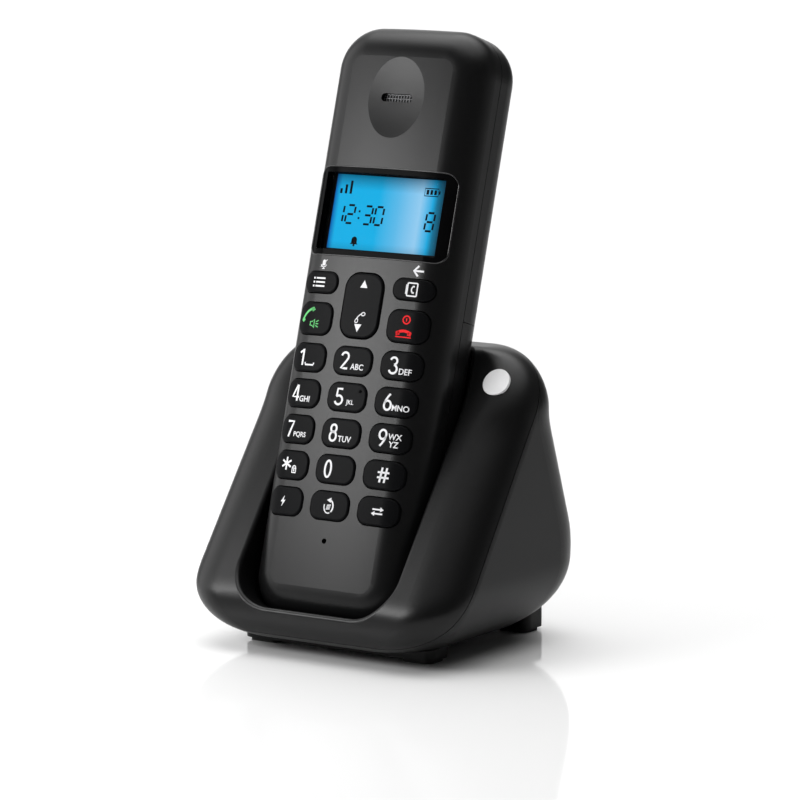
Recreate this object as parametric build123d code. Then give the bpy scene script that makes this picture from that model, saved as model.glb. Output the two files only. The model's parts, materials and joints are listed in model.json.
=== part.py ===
from build123d import *
import math
import os

# Handset, in millimetres, in its own axes: u across, v up from its lower end, w out of its face
HANDSET_LENGTH = 158.4
HANDSET_WIDTH = 47.0
HANDSET_DEPTH = 24.0
HANDSET_CORNER = 12.0
FACE_EDGE = 9.0
BACK_EDGE = 8.0
CROWN_RADIUS = 130.0
HANDSET_WALL = 1.8
PARTING_DEPTH = 12.5
HANDSET_SEAM = 0.2

# Keys, placed by the centre of the lowest row
KEY_ROW_FIRST = 30.5
KEY_ROW_PITCH = 9.5
KEY_HEIGHT = 7.4
MIDDLE_KEY_WIDTH = 11.85
OUTER_KEY_INNER = 8.7
OUTER_KEY_OUTER = 20.0
KEY_CORNER = 2.9
CALL_KEY_FROM = 74.6
CALL_KEY_HEIGHT = 8.5
SOFT_KEY_FROM = 85.7
SOFT_KEY_HEIGHT = 5.6
SOFT_KEY_CORNER = 2.6
ROCKER_FROM = 74.7
ROCKER_HEIGHT = 16.9
ROCKER_WIDTH = 11.6
ROCKER_CORNER = 4.0
KEY_RISE = 0.5
KEY_EDGE = 0.45
KEY_GAP = 0.25
ROCKER_GAP = 0.4
KEY_TRAVEL = 0.7
KEY_REST_GAP = 0.2
FLANGE_REACH = 0.9
FLANGE_THICKNESS = 0.8
FLANGE_LIMIT = 19.4
FLANGE_GAP = 0.2
ROCKER_LUG = 1.6
DOT_RADIUS = 0.45

# Display, earpiece and microphone
LENS_FROM = 96.0
LENS_HEIGHT = 23.5
LENS_WIDTH = 42.4
LENS_CORNER = 3.0
LENS_THICKNESS = 1.1
LENS_GAP = 0.12
VIEW_WIDTH = 38.0
VIEW_HEIGHT = 20.8
GLASS_WIDTH = 36.6
GLASS_HEIGHT = 24.0
GLASS_TOP = 4.3
GLASS_THICKNESS = 1.6
EAR_HEIGHT = 138.5
EAR_DISH_WIDTH = 21.6
EAR_DISH_DEPTH = 0.75
EAR_SLOT_WIDTH = 9.7
EAR_SLOT_HEIGHT = 2.2
EAR_SPEAKER_WIDTH = 20.0
EAR_SPEAKER_DEPTH = 4.2
MESH_THICKNESS = 0.4
MESH_MARGIN = 1.0
MESH_SEAT = 0.2
EAR_RING_WALL = 1.2
EAR_RING_GAP = 0.2
EAR_RING_DEPTH = 5.0
MIC_HEIGHT = 21.3
MIC_HOLE = 1.4
MIC_WIDTH = 4.0
MIC_DEPTH = 2.2

# Inside of the handset
BOARD_FRONT = 8.5
BOARD_THICKNESS = 1.4
BOARD_WIDTH = 40.0
BOARD_FROM = 17.0
BOARD_TO = 126.0
KEYMAT_THICKNESS = 0.8
KEYMAT_WIDTH = 39.0
KEYMAT_MARGIN = 2.0
POST_WIDTH = 3.0
POST_INSET = 2.2
CELL_WIDTH = 10.5
CELL_LENGTH = 44.5
CELL_FROM = 28.0
CELL_GAP = 0.35
CELL_NUB_WIDTH = 3.6
CELL_NUB = 1.0
TRAY_WALL = 1.2
TRAY_FLOOR = 1.0
CLIP_THICKNESS = 0.5
CLIP_HEIGHT = 8.0
DOOR_FROM = 22.0
DOOR_TO = 82.8
DOOR_WALL = 1.6
DOOR_GRIP_COUNT = 4
DOOR_GRIP_PITCH = 2.2
DOOR_GRIP_WIDTH = 16.0
DOOR_GRIP_DEPTH = 0.5
RINGER_HEIGHT = 116.0
RINGER_WIDTH = 20.0
RINGER_DEPTH = 4.5
RINGER_SLOT_COUNT = 5
RINGER_SLOT_PITCH = 2.6
RINGER_SLOT_WIDTH = 12.0
RINGER_SLOT_HEIGHT = 1.2
PAD_ACROSS = 9.0
PAD_HEIGHT = 14.0
PAD_WIDTH = 5.0
PAD_LENGTH = 6.0
PAD_THICKNESS = 0.8
HANDSET_SCREW_ACROSS = 14.0
HANDSET_SCREW_LOW = 8.5
HANDSET_SCREW_TOP_INSET = 10.0
HANDSET_BOSS_WIDTH = 5.4
SCREW_SHANK = 2.2
SCREW_HEAD = 4.0
SCREW_HEAD_DEPTH = 1.6
SCREW_BITE = 5.0
SCREW_TIP_GAP = 0.1
SCREW_RECESS_LENGTH = 2.4
SCREW_RECESS_WIDTH = 0.6

# Base body, with the width taken at WIDTH_HEIGHT
BASE_WIDTH = 84.4
WIDTH_HEIGHT = 23.8
BASE_DEPTH = 74.7
BASE_TOP = 78.2
SOLE = 3.2
SIDE_DRAFT = 0.9
TOP_CORNER = 17.0
BOTTOM_CORNER = 18.0
FRONT_LEAN = 36.0
REAR_LEAN = 19.0
TOE_RADIUS = 9.0
HEEL_RADIUS = 22.0
RIDGE_RADIUS = 5.0
FRONT_EDGE = 12.5
REAR_EDGE = 18.0
BASE_WALL = 2.0
FOOT_STEPS = 14
WALL_STEPS = 8
CREST_STEPS = 11
SEAM_DEPTH = 8.4
SEAM_GAP = 0.3

# Cradle: how the handset stands in the base
HANDSET_LEAN = 16.6
FOOT_BACK = 2.35
FOOT_HEIGHT = 9.96
CRADLE_SIDE = 1.0
CRADLE_FRONT = 1.0
CRADLE_BACK = 0.4
CRADLE_FLOOR = 0.3
CRADLE_WALL = 1.8
CRADLE_RIM = 1.0
MOUTH_FROM = 2.3
MOUTH_CORNER = 11.5

# Charging contacts
PIN_WIDTH = 2.6
PIN_COLLAR_WIDTH = 4.6
PIN_COLLAR = 0.8
PIN_TAIL = 4.0
PIN_TRAVEL = 0.8
PIN_PAD_GAP = 0.15
PIN_GAP = 0.25
PIN_TIP_EDGE = 0.8
CONTACT_BLOCK_WALL = 1.2
CONTACT_BLOCK_HEIGHT = 9.0
CONTACT_BLOCK_MARGIN = 3.0

# Base plate, feet, board, sockets and page key
PLATE_LIFT = 1.0
PLATE_FIT = 0.1
SPINE_WIDTH = 44.0
BAR_WIDTH = 59.0
BAR_DEPTH = 9.5
PLATE_FRONT_SETBACK = 13.7
PLATE_REAR_SETBACK = 5.0
PLATE_CORNER = 2.5
PLATE_REACH = 5.0
FOOT_WIDTH = 9.0
FOOT_LENGTH = 7.5
FOOT_CORNER = 2.0
BASE_SCREW_ACROSS = 18.0
BASE_SCREW_AHEAD = 5.0
BASE_SCREW_PITCH = 10.0
BASE_BOSS_WIDTH = 6.0
BASE_BOSS_HEIGHT = 8.0
BASE_BOSS_CAP = 1.0
BASE_BOARD_SETBACK = 23.9
BASE_BOARD_WIDTH = 54.0
BASE_BOARD_TOP = 52.8
BASE_BOARD_LIFT = 0.2
GUIDE_WIDTH = 4.0
GUIDE_THICKNESS = 2.0
GUIDE_HEIGHT = 16.0
GUIDE_GAP = 0.2
SOCKET_HEIGHT = 15.8
SOCKET_ACROSS = 13.0
SOCKET_WALL = 2.0
SOCKET_MOUTH_HEIGHT = 6.9
LINE_MOUTH_WIDTH = 9.8
POWER_MOUTH_WIDTH = 7.7
SOCKET_MOUTH_DEPTH = 13.0
SOCKET_LATCH_WIDTH = 3.6
SOCKET_LATCH_HEIGHT = 1.6
SOCKET_INSET = 0.4
SOCKET_GAP = 0.25
PAGE_HEIGHT = 44.8
PAGE_WIDTH = 9.0
PAGE_RISE = 0.7
PAGE_GAP = 0.25
PAGE_COLLAR = 1.4
PAGE_COLLAR_THICKNESS = 1.0
PAGE_STEM_WIDTH = 5.0
PAGE_TRAVEL = 0.8
PAGE_SWITCH_WIDTH = 6.2
PAGE_SWITCH_DEPTH = 4.0
PAGE_SWITCH_GAP = 0.1
BADGE_WIDTH = 7.6
BADGE_INSET = 10.0
BADGE_HEIGHT = 70.6
BADGE_THICKNESS = 0.8
BADGE_GAP = 0.1

# A length past every surface that a cut has to clear
CLEAR = 200.0


def sin_deg(angle):
    return math.sin(math.radians(angle))


def cos_deg(angle):
    return math.cos(math.radians(angle))


def tan_deg(angle):
    return math.tan(math.radians(angle))


# Places that several pieces share
HANDSET_PLACE = Plane(
    origin=(0, FOOT_BACK - BASE_DEPTH / 2, FOOT_HEIGHT),
    x_dir=(1, 0, 0),
    z_dir=(0, -cos_deg(HANDSET_LEAN), sin_deg(HANDSET_LEAN)),
).location
BOARD_BACK = BOARD_FRONT + BOARD_THICKNESS
KEY_FOOT_DEPTH = BOARD_FRONT - KEYMAT_THICKNESS - KEY_TRAVEL - KEY_REST_GAP
KEY_ROWS = (
    ("recall", "redial", "intercom"),
    ("star", "0", "hash"),
    ("7", "8", "9"),
    ("4", "5", "6"),
    ("1", "2", "3"),
)
HANDSET_SCREW_HIGH = HANDSET_LENGTH - HANDSET_SCREW_TOP_INSET
HANDSET_SCREW_PLACES = [
    (side * HANDSET_SCREW_ACROSS, v) for side in (-1, 1) for v in (HANDSET_SCREW_LOW, HANDSET_SCREW_HIGH)
]
PLATE_FRONT = PLATE_FRONT_SETBACK - BASE_DEPTH / 2
PLATE_REAR = BASE_DEPTH / 2 - PLATE_REAR_SETBACK
BASE_BOARD_FRONT = BASE_DEPTH / 2 - BASE_BOARD_SETBACK
BASE_SCREW_REAR = BASE_BOARD_FRONT - BASE_SCREW_AHEAD
BASE_SCREW_PLACES = [
    (side * BASE_SCREW_ACROSS, BASE_SCREW_REAR - row * BASE_SCREW_PITCH) for side in (-1, 1) for row in (0, 1)
]


def soft_block(width, v_low, v_high, w_front, w_back, corner, front_edge, back_edge, crown=None):
    """A block with round corners and round edges, its face crowned about a long axis where asked."""
    block = Pos(0, (v_low + v_high) / 2, (w_front + w_back) / 2) * Box(width, v_high - v_low, w_front - w_back)
    block = fillet(block.edges().filter_by(Axis.Z), corner)
    if crown:
        block = block & Pos(0, 0, w_front - crown) * Rot(90, 0, 0) * Cylinder(crown, 4 * CLEAR)
    block = fillet(block.faces().sort_by(Axis.Z)[-1].edges(), front_edge)
    return fillet(block.faces().sort_by(Axis.Z)[0].edges(), back_edge)


def handset_form(grow=0.0):
    """The handset's outer form, grown all round."""
    return soft_block(
        HANDSET_WIDTH + 2 * grow, -grow, HANDSET_LENGTH + grow, grow, -HANDSET_DEPTH - grow,
        HANDSET_CORNER + grow, FACE_EDGE + grow, BACK_EDGE + grow, CROWN_RADIUS + grow,
    )


def cradle_form(grow=0.0):
    """The space that the base keeps for the handset, open upwards and, over a low lip, to the front."""
    side = CRADLE_SIDE + grow
    top = HANDSET_LENGTH + CLEAR / 4
    space = soft_block(
        HANDSET_WIDTH + 2 * side, -CRADLE_FLOOR - grow, top,
        CRADLE_FRONT + grow, -HANDSET_DEPTH - CRADLE_BACK - grow,
        HANDSET_CORNER + side, FACE_EDGE + side, BACK_EDGE + CRADLE_BACK + grow,
    )
    half = HANDSET_WIDTH / 2 + CRADLE_SIDE
    return space + prism(-half, half, MOUTH_FROM, top - grow, MOUTH_CORNER, grow)


def slab(u_low, u_high, v_low, v_high, w_low, w_high):
    """A plain block between two corners in the handset's axes."""
    block = Box(u_high - u_low, v_high - v_low, w_high - w_low)
    return Pos((u_low + u_high) / 2, (v_low + v_high) / 2, (w_low + w_high) / 2) * block


def pillar(u, v, w_low, w_high, width):
    """A round pillar along the handset's w axis."""
    return Pos(u, v, (w_low + w_high) / 2) * Cylinder(width / 2, w_high - w_low)


def prism(u_low, u_high, v_low, v_high, corner, grow=0.0):
    """A tall block with a rounded outline, through the handset's face."""
    outline = RectangleRounded(u_high - u_low + 2 * grow, v_high - v_low + 2 * grow, corner + grow)
    place = Pos((u_low + u_high) / 2, (v_low + v_high) / 2, -PARTING_DEPTH)
    return extrude(place * outline, PARTING_DEPTH + CLEAR / 10)


def joined(pieces):
    """One shape from a list of pieces."""
    whole = pieces[0]
    for piece in pieces[1:]:
        whole = whole + piece
    return whole


# Handset forms that the shells, keys and lens are cut from
HANDSET_OUTER = handset_form()
HANDSET_INNER = handset_form(-HANDSET_WALL)
KEY_SURFACE = handset_form(KEY_RISE)
FLANGE_TOP = handset_form(-HANDSET_WALL - FLANGE_GAP)
FLANGE_BOTTOM = handset_form(-HANDSET_WALL - FLANGE_GAP - FLANGE_THICKNESS)


def key_outlines():
    """Every key's name with its outline: u and v limits and corner radius."""
    outlines = {}
    half_height = KEY_HEIGHT / 2
    for row, names in enumerate(KEY_ROWS):
        v = KEY_ROW_FIRST + row * KEY_ROW_PITCH
        spans = (
            (-OUTER_KEY_OUTER, -OUTER_KEY_INNER),
            (-MIDDLE_KEY_WIDTH / 2, MIDDLE_KEY_WIDTH / 2),
            (OUTER_KEY_INNER, OUTER_KEY_OUTER),
        )
        for name, (u_low, u_high) in zip(names, spans):
            outlines["key_" + name] = (u_low, u_high, v - half_height, v + half_height, KEY_CORNER)
    for names, v, height, corner in (
        (("key_talk", "key_end"), CALL_KEY_FROM, CALL_KEY_HEIGHT, KEY_CORNER),
        (("key_menu", "key_phonebook"), SOFT_KEY_FROM, SOFT_KEY_HEIGHT, SOFT_KEY_CORNER),
    ):
        outlines[names[0]] = (-OUTER_KEY_OUTER, -OUTER_KEY_INNER, v, v + height, corner)
        outlines[names[1]] = (OUTER_KEY_INNER, OUTER_KEY_OUTER, v, v + height, corner)
    return outlines


ROCKER_OUTLINE = (-ROCKER_WIDTH / 2, ROCKER_WIDTH / 2, ROCKER_FROM, ROCKER_FROM + ROCKER_HEIGHT, ROCKER_CORNER)
ROCKER_MIDDLE = ROCKER_FROM + ROCKER_HEIGHT / 2


def cap(outline):
    """The part of a key that shows: a prism under the raised face, with a round upper edge."""
    block = prism(*outline) & KEY_SURFACE
    block = block - slab(-CLEAR, CLEAR, -CLEAR, 2 * CLEAR, -CLEAR, -KEY_FOOT_DEPTH)
    rim = [edge for edge in block.edges() if upper_edge(edge)]
    return fillet(rim, KEY_EDGE)


def upper_edge(edge):
    """Whether an edge of a key lies on the key's raised face, not on a side or the foot."""
    start, end = edge.position_at(0), edge.position_at(1)
    upright = abs(start.X - end.X) + abs(start.Y - end.Y) < 0.01
    return not upright and edge.position_at(0.5).Z > -KEY_FOOT_DEPTH + 0.01


def make_key(outline):
    """One key: its cap, and a flange that lies just under the front shell."""
    u_low, u_high, v_low, v_high, corner = outline
    flange = prism(
        max(u_low - FLANGE_REACH, -FLANGE_LIMIT), min(u_high + FLANGE_REACH, FLANGE_LIMIT),
        v_low - FLANGE_REACH, v_high + FLANGE_REACH, corner,
    )
    flange = (flange & FLANGE_TOP) - FLANGE_BOTTOM
    return cap(outline) + flange


def make_rocker():
    """The up and down key, which tips about two lugs at its middle."""
    reach = ROCKER_WIDTH / 2 + ROCKER_LUG
    lug = ROCKER_LUG
    axle = slab(-reach, reach, ROCKER_MIDDLE - lug, ROCKER_MIDDLE + lug, -KEY_FOOT_DEPTH, 0)
    axle = (axle & FLANGE_TOP) - FLANGE_BOTTOM
    return cap(ROCKER_OUTLINE) + axle


def lens_block(grow=0.0):
    half = LENS_WIDTH / 2
    return prism(-half, half, LENS_FROM, LENS_FROM + LENS_HEIGHT, LENS_CORNER, grow)


def bore_under_face(width):
    """The space inside the ring that holds the earpiece, below the front shell's skin."""
    return pillar(0, EAR_HEIGHT, -CLEAR, 0, width) & HANDSET_INNER


def make_front_shell():
    """The handset's front half, with its key holes, lens seat, ear slot, posts and screw bosses."""
    shell = HANDSET_OUTER - HANDSET_INNER
    shell = shell & slab(-CLEAR, CLEAR, -CLEAR, 2 * CLEAR, -PARTING_DEPTH, CLEAR)
    post_places = [
        (side * (BOARD_WIDTH / 2 - POST_INSET), v)
        for side in (-1, 1) for v in (BOARD_FROM + POST_INSET, BOARD_TO - POST_INSET)
    ]
    posts = [pillar(u, v, -BOARD_FRONT, 0, POST_WIDTH) for u, v in post_places]
    bosses = [pillar(u, v, -PARTING_DEPTH, 0, HANDSET_BOSS_WIDTH) for u, v in HANDSET_SCREW_PLACES]
    ring_bore = EAR_SPEAKER_WIDTH + 2 * EAR_RING_GAP
    ring = pillar(0, EAR_HEIGHT, -EAR_RING_DEPTH, 0, ring_bore + 2 * EAR_RING_WALL)
    shell = shell + ((joined(posts + bosses + [ring]) & HANDSET_OUTER) - bore_under_face(ring_bore))
    for u, v in HANDSET_SCREW_PLACES:
        shell = shell - pillar(u, v, -PARTING_DEPTH, SCREW_BITE + SCREW_TIP_GAP - PARTING_DEPTH, SCREW_SHANK)
    for outline in key_outlines().values():
        shell = shell - prism(*outline, grow=KEY_GAP)
    shell = shell - prism(*ROCKER_OUTLINE, grow=ROCKER_GAP)
    shell = shell - (lens_block(LENS_GAP) - handset_form(-LENS_THICKNESS))
    middle = LENS_FROM + LENS_HEIGHT / 2
    shell = shell - prism(
        -VIEW_WIDTH / 2, VIEW_WIDTH / 2, middle - VIEW_HEIGHT / 2, middle + VIEW_HEIGHT / 2, LENS_CORNER / 2
    )
    dish_radius = (EAR_DISH_WIDTH ** 2 / 4 + EAR_DISH_DEPTH ** 2) / (2 * EAR_DISH_DEPTH)
    shell = shell - Pos(0, EAR_HEIGHT, dish_radius - EAR_DISH_DEPTH) * Sphere(dish_radius)
    slot = extrude(Pos(0, EAR_HEIGHT, -HANDSET_WALL * 2) * SlotOverall(EAR_SLOT_WIDTH, EAR_SLOT_HEIGHT), CLEAR)
    return shell - slot - pillar(0, MIC_HEIGHT, -HANDSET_WALL * 2, CLEAR, MIC_HOLE)


def make_rear_shell():
    """The handset's rear half: its skin, the tray for the cells under the door, and the screw bosses."""
    behind = slab(-CLEAR, CLEAR, -CLEAR, 2 * CLEAR, -CLEAR, -PARTING_DEPTH - HANDSET_SEAM)
    door_zone = slab(-CLEAR, CLEAR, DOOR_FROM - HANDSET_SEAM, DOOR_TO + HANDSET_SEAM, -CLEAR, CLEAR)
    under_door = handset_form(-DOOR_WALL - HANDSET_SEAM)
    skin = (HANDSET_OUTER - HANDSET_INNER) & behind
    sunk = (under_door - handset_form(-DOOR_WALL - HANDSET_SEAM - TRAY_WALL)) & behind
    reach = HANDSET_WALL + TRAY_WALL
    sunk = sunk & slab(-CLEAR, CLEAR, DOOR_FROM - reach, DOOR_TO + reach, -CLEAR, CLEAR)
    tray_half = CELL_WIDTH + CELL_GAP * 2
    tray_low = CELL_FROM - CELL_GAP - CLIP_THICKNESS
    tray_high = CELL_FROM + CELL_LENGTH + CELL_NUB + CELL_GAP + CLIP_THICKNESS
    tray_top = -BOARD_BACK - CELL_GAP - TRAY_FLOOR
    box = slab(
        -tray_half - TRAY_WALL, tray_half + TRAY_WALL, tray_low - TRAY_WALL, tray_high + TRAY_WALL,
        -CLEAR, tray_top + TRAY_FLOOR,
    )
    cavity = slab(-tray_half, tray_half, tray_low, tray_high, -CLEAR, tray_top)
    bosses = [
        pillar(u, v, -HANDSET_DEPTH, -PARTING_DEPTH - HANDSET_SEAM, HANDSET_BOSS_WIDTH)
        for u, v in HANDSET_SCREW_PLACES
    ]
    shell = (skin - door_zone) + sunk + (box & under_door) + (joined(bosses) & HANDSET_OUTER) - cavity
    for u, v in HANDSET_SCREW_PLACES:
        shell = shell - pillar(u, v, -CLEAR, 0, SCREW_SHANK + 2 * HANDSET_SEAM)
        head_seat = -PARTING_DEPTH - SCREW_BITE
        shell = shell - pillar(u, v, -CLEAR, head_seat, SCREW_HEAD + 2 * HANDSET_SEAM)
    for side in (-1, 1):
        shell = shell - slab(
            side * PAD_ACROSS - PAD_WIDTH / 2, side * PAD_ACROSS + PAD_WIDTH / 2,
            PAD_HEIGHT - PAD_LENGTH / 2, PAD_HEIGHT + PAD_LENGTH / 2, -CLEAR, -HANDSET_DEPTH + PAD_THICKNESS,
        )
    slots = [
        Pos(0, RINGER_HEIGHT + (i - (RINGER_SLOT_COUNT - 1) / 2) * RINGER_SLOT_PITCH, -CLEAR)
        * SlotOverall(RINGER_SLOT_WIDTH, RINGER_SLOT_HEIGHT)
        for i in range(RINGER_SLOT_COUNT)
    ]
    for slot in slots:
        shell = shell - extrude(slot, CLEAR - PARTING_DEPTH - HANDSET_WALL)
    return shell


def make_battery_door():
    """The sliding door over the cells, which takes in the handset's lower back and its sides."""
    door = (HANDSET_OUTER - handset_form(-DOOR_WALL)) & slab(
        -CLEAR, CLEAR, DOOR_FROM, DOOR_TO, -CLEAR, -PARTING_DEPTH - HANDSET_SEAM
    )
    top = DOOR_TO - DOOR_GRIP_PITCH * 2
    for i in range(DOOR_GRIP_COUNT):
        groove = SlotOverall(DOOR_GRIP_WIDTH, DOOR_GRIP_PITCH / 2)
        groove = extrude(Pos(0, top - i * DOOR_GRIP_PITCH, -CLEAR) * groove, CLEAR - HANDSET_DEPTH + DOOR_GRIP_DEPTH)
        door = door - groove
    return door


def make_cells():
    """Two round cells side by side, each with its nub at the upper end."""
    depth = -BOARD_BACK - 2 * CELL_GAP - TRAY_FLOOR - CELL_WIDTH / 2
    cells = []
    for side in (-1, 1):
        u = side * (CELL_WIDTH + CELL_GAP) / 2
        can = Pos(u, CELL_FROM + CELL_LENGTH / 2, depth) * Rot(90, 0, 0) * Cylinder(CELL_WIDTH / 2, CELL_LENGTH)
        nub_middle = CELL_FROM + CELL_LENGTH + CELL_NUB / 2
        nub = Pos(u, nub_middle, depth) * Rot(90, 0, 0) * Cylinder(CELL_NUB_WIDTH / 2, CELL_NUB)
        cells.append(can + nub)
    return Compound(children=cells)


def make_cell_clips():
    """The metal strips at the ends of the cells: one across both, and one for each cell at the nubs."""
    depth = -BOARD_BACK - 2 * CELL_GAP - TRAY_FLOOR - CELL_WIDTH / 2
    low = CELL_FROM - CELL_GAP - CLIP_THICKNESS
    high = CELL_FROM + CELL_LENGTH + CELL_NUB + CELL_GAP
    half = CLIP_HEIGHT / 2
    strips = [slab(-CELL_WIDTH, CELL_WIDTH, low, low + CLIP_THICKNESS, depth - half, depth + half)]
    for side in (-1, 1):
        u = side * (CELL_WIDTH + CELL_GAP) / 2
        strips.append(slab(u - half, u + half, high, high + CLIP_THICKNESS, depth - half, depth + half))
    return Compound(children=strips)


def make_charge_pads():
    pads = []
    for side in (-1, 1):
        u = side * PAD_ACROSS
        pads.append(slab(
            u - PAD_WIDTH / 2, u + PAD_WIDTH / 2, PAD_HEIGHT - PAD_LENGTH / 2, PAD_HEIGHT + PAD_LENGTH / 2,
            -HANDSET_DEPTH, -HANDSET_DEPTH + PAD_THICKNESS,
        ))
    return Compound(children=pads)


def cross_recess(place):
    """The cross that a screwdriver turns, in the end of a screw's head."""
    bar = Box(SCREW_RECESS_LENGTH, SCREW_RECESS_WIDTH, SCREW_HEAD_DEPTH)
    return place * (bar + Rot(0, 0, 90) * bar)


def make_handset_screws():
    screws = []
    head_seat = -PARTING_DEPTH - SCREW_BITE
    for u, v in HANDSET_SCREW_PLACES:
        shank = pillar(u, v, head_seat, -PARTING_DEPTH + SCREW_BITE, SCREW_SHANK)
        head = pillar(u, v, head_seat - SCREW_HEAD_DEPTH, head_seat, SCREW_HEAD)
        screws.append(shank + head - cross_recess(Pos(u, v, head_seat - SCREW_HEAD_DEPTH)))
    return Compound(children=screws)


def make_handset_board():
    half = BOARD_WIDTH / 2
    return slab(-half, half, BOARD_FROM, BOARD_TO, -BOARD_BACK, -BOARD_FRONT)


def make_keymat():
    half = KEYMAT_WIDTH / 2
    low = KEY_ROW_FIRST - KEY_HEIGHT / 2 - KEYMAT_MARGIN
    high = ROCKER_FROM + ROCKER_HEIGHT + KEYMAT_MARGIN
    return slab(-half, half, low, high, -BOARD_FRONT, -BOARD_FRONT + KEYMAT_THICKNESS)


def display_block(width, height, w_low, w_high):
    middle = LENS_FROM + LENS_HEIGHT / 2
    return slab(-width / 2, width / 2, middle - height / 2, middle + height / 2, w_low, w_high)


def make_ear_speaker():
    seat = -HANDSET_WALL - MESH_SEAT - MESH_THICKNESS
    return pillar(0, EAR_HEIGHT, seat - EAR_SPEAKER_DEPTH, seat, EAR_SPEAKER_WIDTH)


def make_ear_mesh():
    """A thin plate behind the ear slot."""
    half_width = EAR_SLOT_WIDTH / 2 + MESH_MARGIN
    half_height = EAR_SLOT_HEIGHT / 2 + MESH_MARGIN
    top = -HANDSET_WALL - MESH_SEAT
    return slab(
        -half_width, half_width, EAR_HEIGHT - half_height, EAR_HEIGHT + half_height, top - MESH_THICKNESS, top
    )


def handset_pieces():
    """Every piece of the handset, in the handset's own axes."""
    lens = (lens_block() & HANDSET_OUTER) - handset_form(-LENS_THICKNESS)
    pieces = {
        "handset_front_shell": make_front_shell(),
        "handset_rear_shell": make_rear_shell(),
        "battery_door": make_battery_door(),
        "display_window": lens,
        "display_glass": display_block(GLASS_WIDTH, GLASS_HEIGHT, -GLASS_TOP - GLASS_THICKNESS, -GLASS_TOP),
        "display_backlight": display_block(
            GLASS_WIDTH, GLASS_HEIGHT, -BOARD_FRONT, -GLASS_TOP - GLASS_THICKNESS
        ),
        "earpiece_speaker": make_ear_speaker(),
        "earpiece_mesh": make_ear_mesh(),
        "microphone": pillar(0, MIC_HEIGHT, -BOARD_FRONT, -BOARD_FRONT + MIC_DEPTH, MIC_WIDTH),
        "handset_circuit_board": make_handset_board(),
        "keymat": make_keymat(),
        "nav_rocker": make_rocker(),
        "ringer_speaker": pillar(
            0, RINGER_HEIGHT, -HANDSET_DEPTH + HANDSET_WALL, -HANDSET_DEPTH + HANDSET_WALL + RINGER_DEPTH,
            RINGER_WIDTH,
        ),
        "battery_cells": make_cells(),
        "battery_clips": make_cell_clips(),
        "handset_charge_pads": make_charge_pads(),
        "handset_screws": make_handset_screws(),
    }
    for name, outline in key_outlines().items():
        pieces[name] = make_key(outline)
    dot_place = (MIDDLE_KEY_WIDTH / 3, KEY_ROW_FIRST + 3 * KEY_ROW_PITCH + KEY_HEIGHT / 4, KEY_RISE)
    pieces["key_5"] = pieces["key_5"] + Pos(*dot_place) * Sphere(DOT_RADIUS)
    return pieces


def arc_setback(radius, height):
    """How far a round edge stands back at a height above the flat that it starts from."""
    rest = max(0.0, radius - height)
    return radius - math.sqrt(radius * radius - rest * rest)


def leaning_face(z, low, high, foot, lean):
    """How far a leaning face stands out from the centre of the round foot that it rises from."""
    foot_height = low + foot
    ridge_height = high - RIDGE_RADIUS
    if z < foot_height + foot * sin_deg(lean):
        return math.sqrt(max(0.0, foot ** 2 - (z - foot_height) ** 2))
    if z < ridge_height + RIDGE_RADIUS * sin_deg(lean):
        return foot / cos_deg(lean) - (z - foot_height) * tan_deg(lean)
    ridge = foot / cos_deg(lean) - (ridge_height - foot_height) * tan_deg(lean) - RIDGE_RADIUS / cos_deg(lean)
    return ridge + math.sqrt(max(0.0, RIDGE_RADIUS ** 2 - (z - ridge_height) ** 2))


def section_wire(z, half, front, rear, front_edge, rear_edge):
    """One level outline of the base: four straight sides joined by four round corners."""
    fit = min(1.0, 0.96 * (rear - front) / (front_edge + rear_edge))
    corners = ((1, -1, front_edge * fit), (1, 1, rear_edge * fit), (-1, 1, rear_edge * fit), (-1, -1, front_edge * fit))
    arcs = []
    for side, way, radius in corners:
        x = side * (half - radius)
        y = (rear - radius) if way > 0 else (front + radius)
        along = Vector(x, y + way * radius, z)
        across = Vector(x + side * radius, y, z)
        slant = radius * math.sqrt(0.5)
        middle = Vector(x + side * slant, y + way * slant, z)
        ends = (along, across) if side * way < 0 else (across, along)
        arcs.append((ends[0], middle, ends[1]))
    edges = []
    for i, (start, middle, end) in enumerate(arcs):
        edges.append(Edge.make_line(arcs[i - 1][2], start))
        edges.append(Edge.make_three_point_arc(start, middle, end))
    return Wire(edges)


def base_levels(low, high, bottom, top):
    """The heights of the base's outlines: close together where its edges are round."""
    foot = [low + bottom * (1 - cos_deg(90 * i / FOOT_STEPS)) for i in range(FOOT_STEPS + 1)]
    crest = [high - top * (1 - cos_deg(90 * i / CREST_STEPS)) for i in range(CREST_STEPS, -1, -1)]
    rise = (crest[0] - foot[-1]) / WALL_STEPS
    return foot + [foot[-1] + rise * i for i in range(1, WALL_STEPS)] + crest


def base_form(inset=0.0):
    """The base's outer form, drawn through level outlines, or the form that lies inset within it."""
    low = SOLE + inset
    high = BASE_TOP - inset
    toe = TOE_RADIUS - inset
    heel = HEEL_RADIUS - inset
    wires = []
    for z in base_levels(low, high, heel, TOP_CORNER - inset):
        half = BASE_WIDTH / 2 - inset / cos_deg(SIDE_DRAFT) - (z - WIDTH_HEIGHT) * tan_deg(SIDE_DRAFT)
        half = half - arc_setback(BOTTOM_CORNER - inset, z - low) - arc_setback(TOP_CORNER - inset, high - z)
        front = TOE_RADIUS - BASE_DEPTH / 2 - leaning_face(z, low, high, toe, FRONT_LEAN)
        rear = BASE_DEPTH / 2 - HEEL_RADIUS + leaning_face(z, low, high, heel, REAR_LEAN)
        wires.append(section_wire(z, half, front, rear, FRONT_EDGE - inset, REAR_EDGE - inset))
    return Part() + Solid.make_loft(wires)


def front_plane_y(z):
    """Where the base's leaning front lies at a height."""
    return TOE_RADIUS - BASE_DEPTH / 2 - leaning_face(z, SOLE, BASE_TOP, TOE_RADIUS, FRONT_LEAN)


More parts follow.
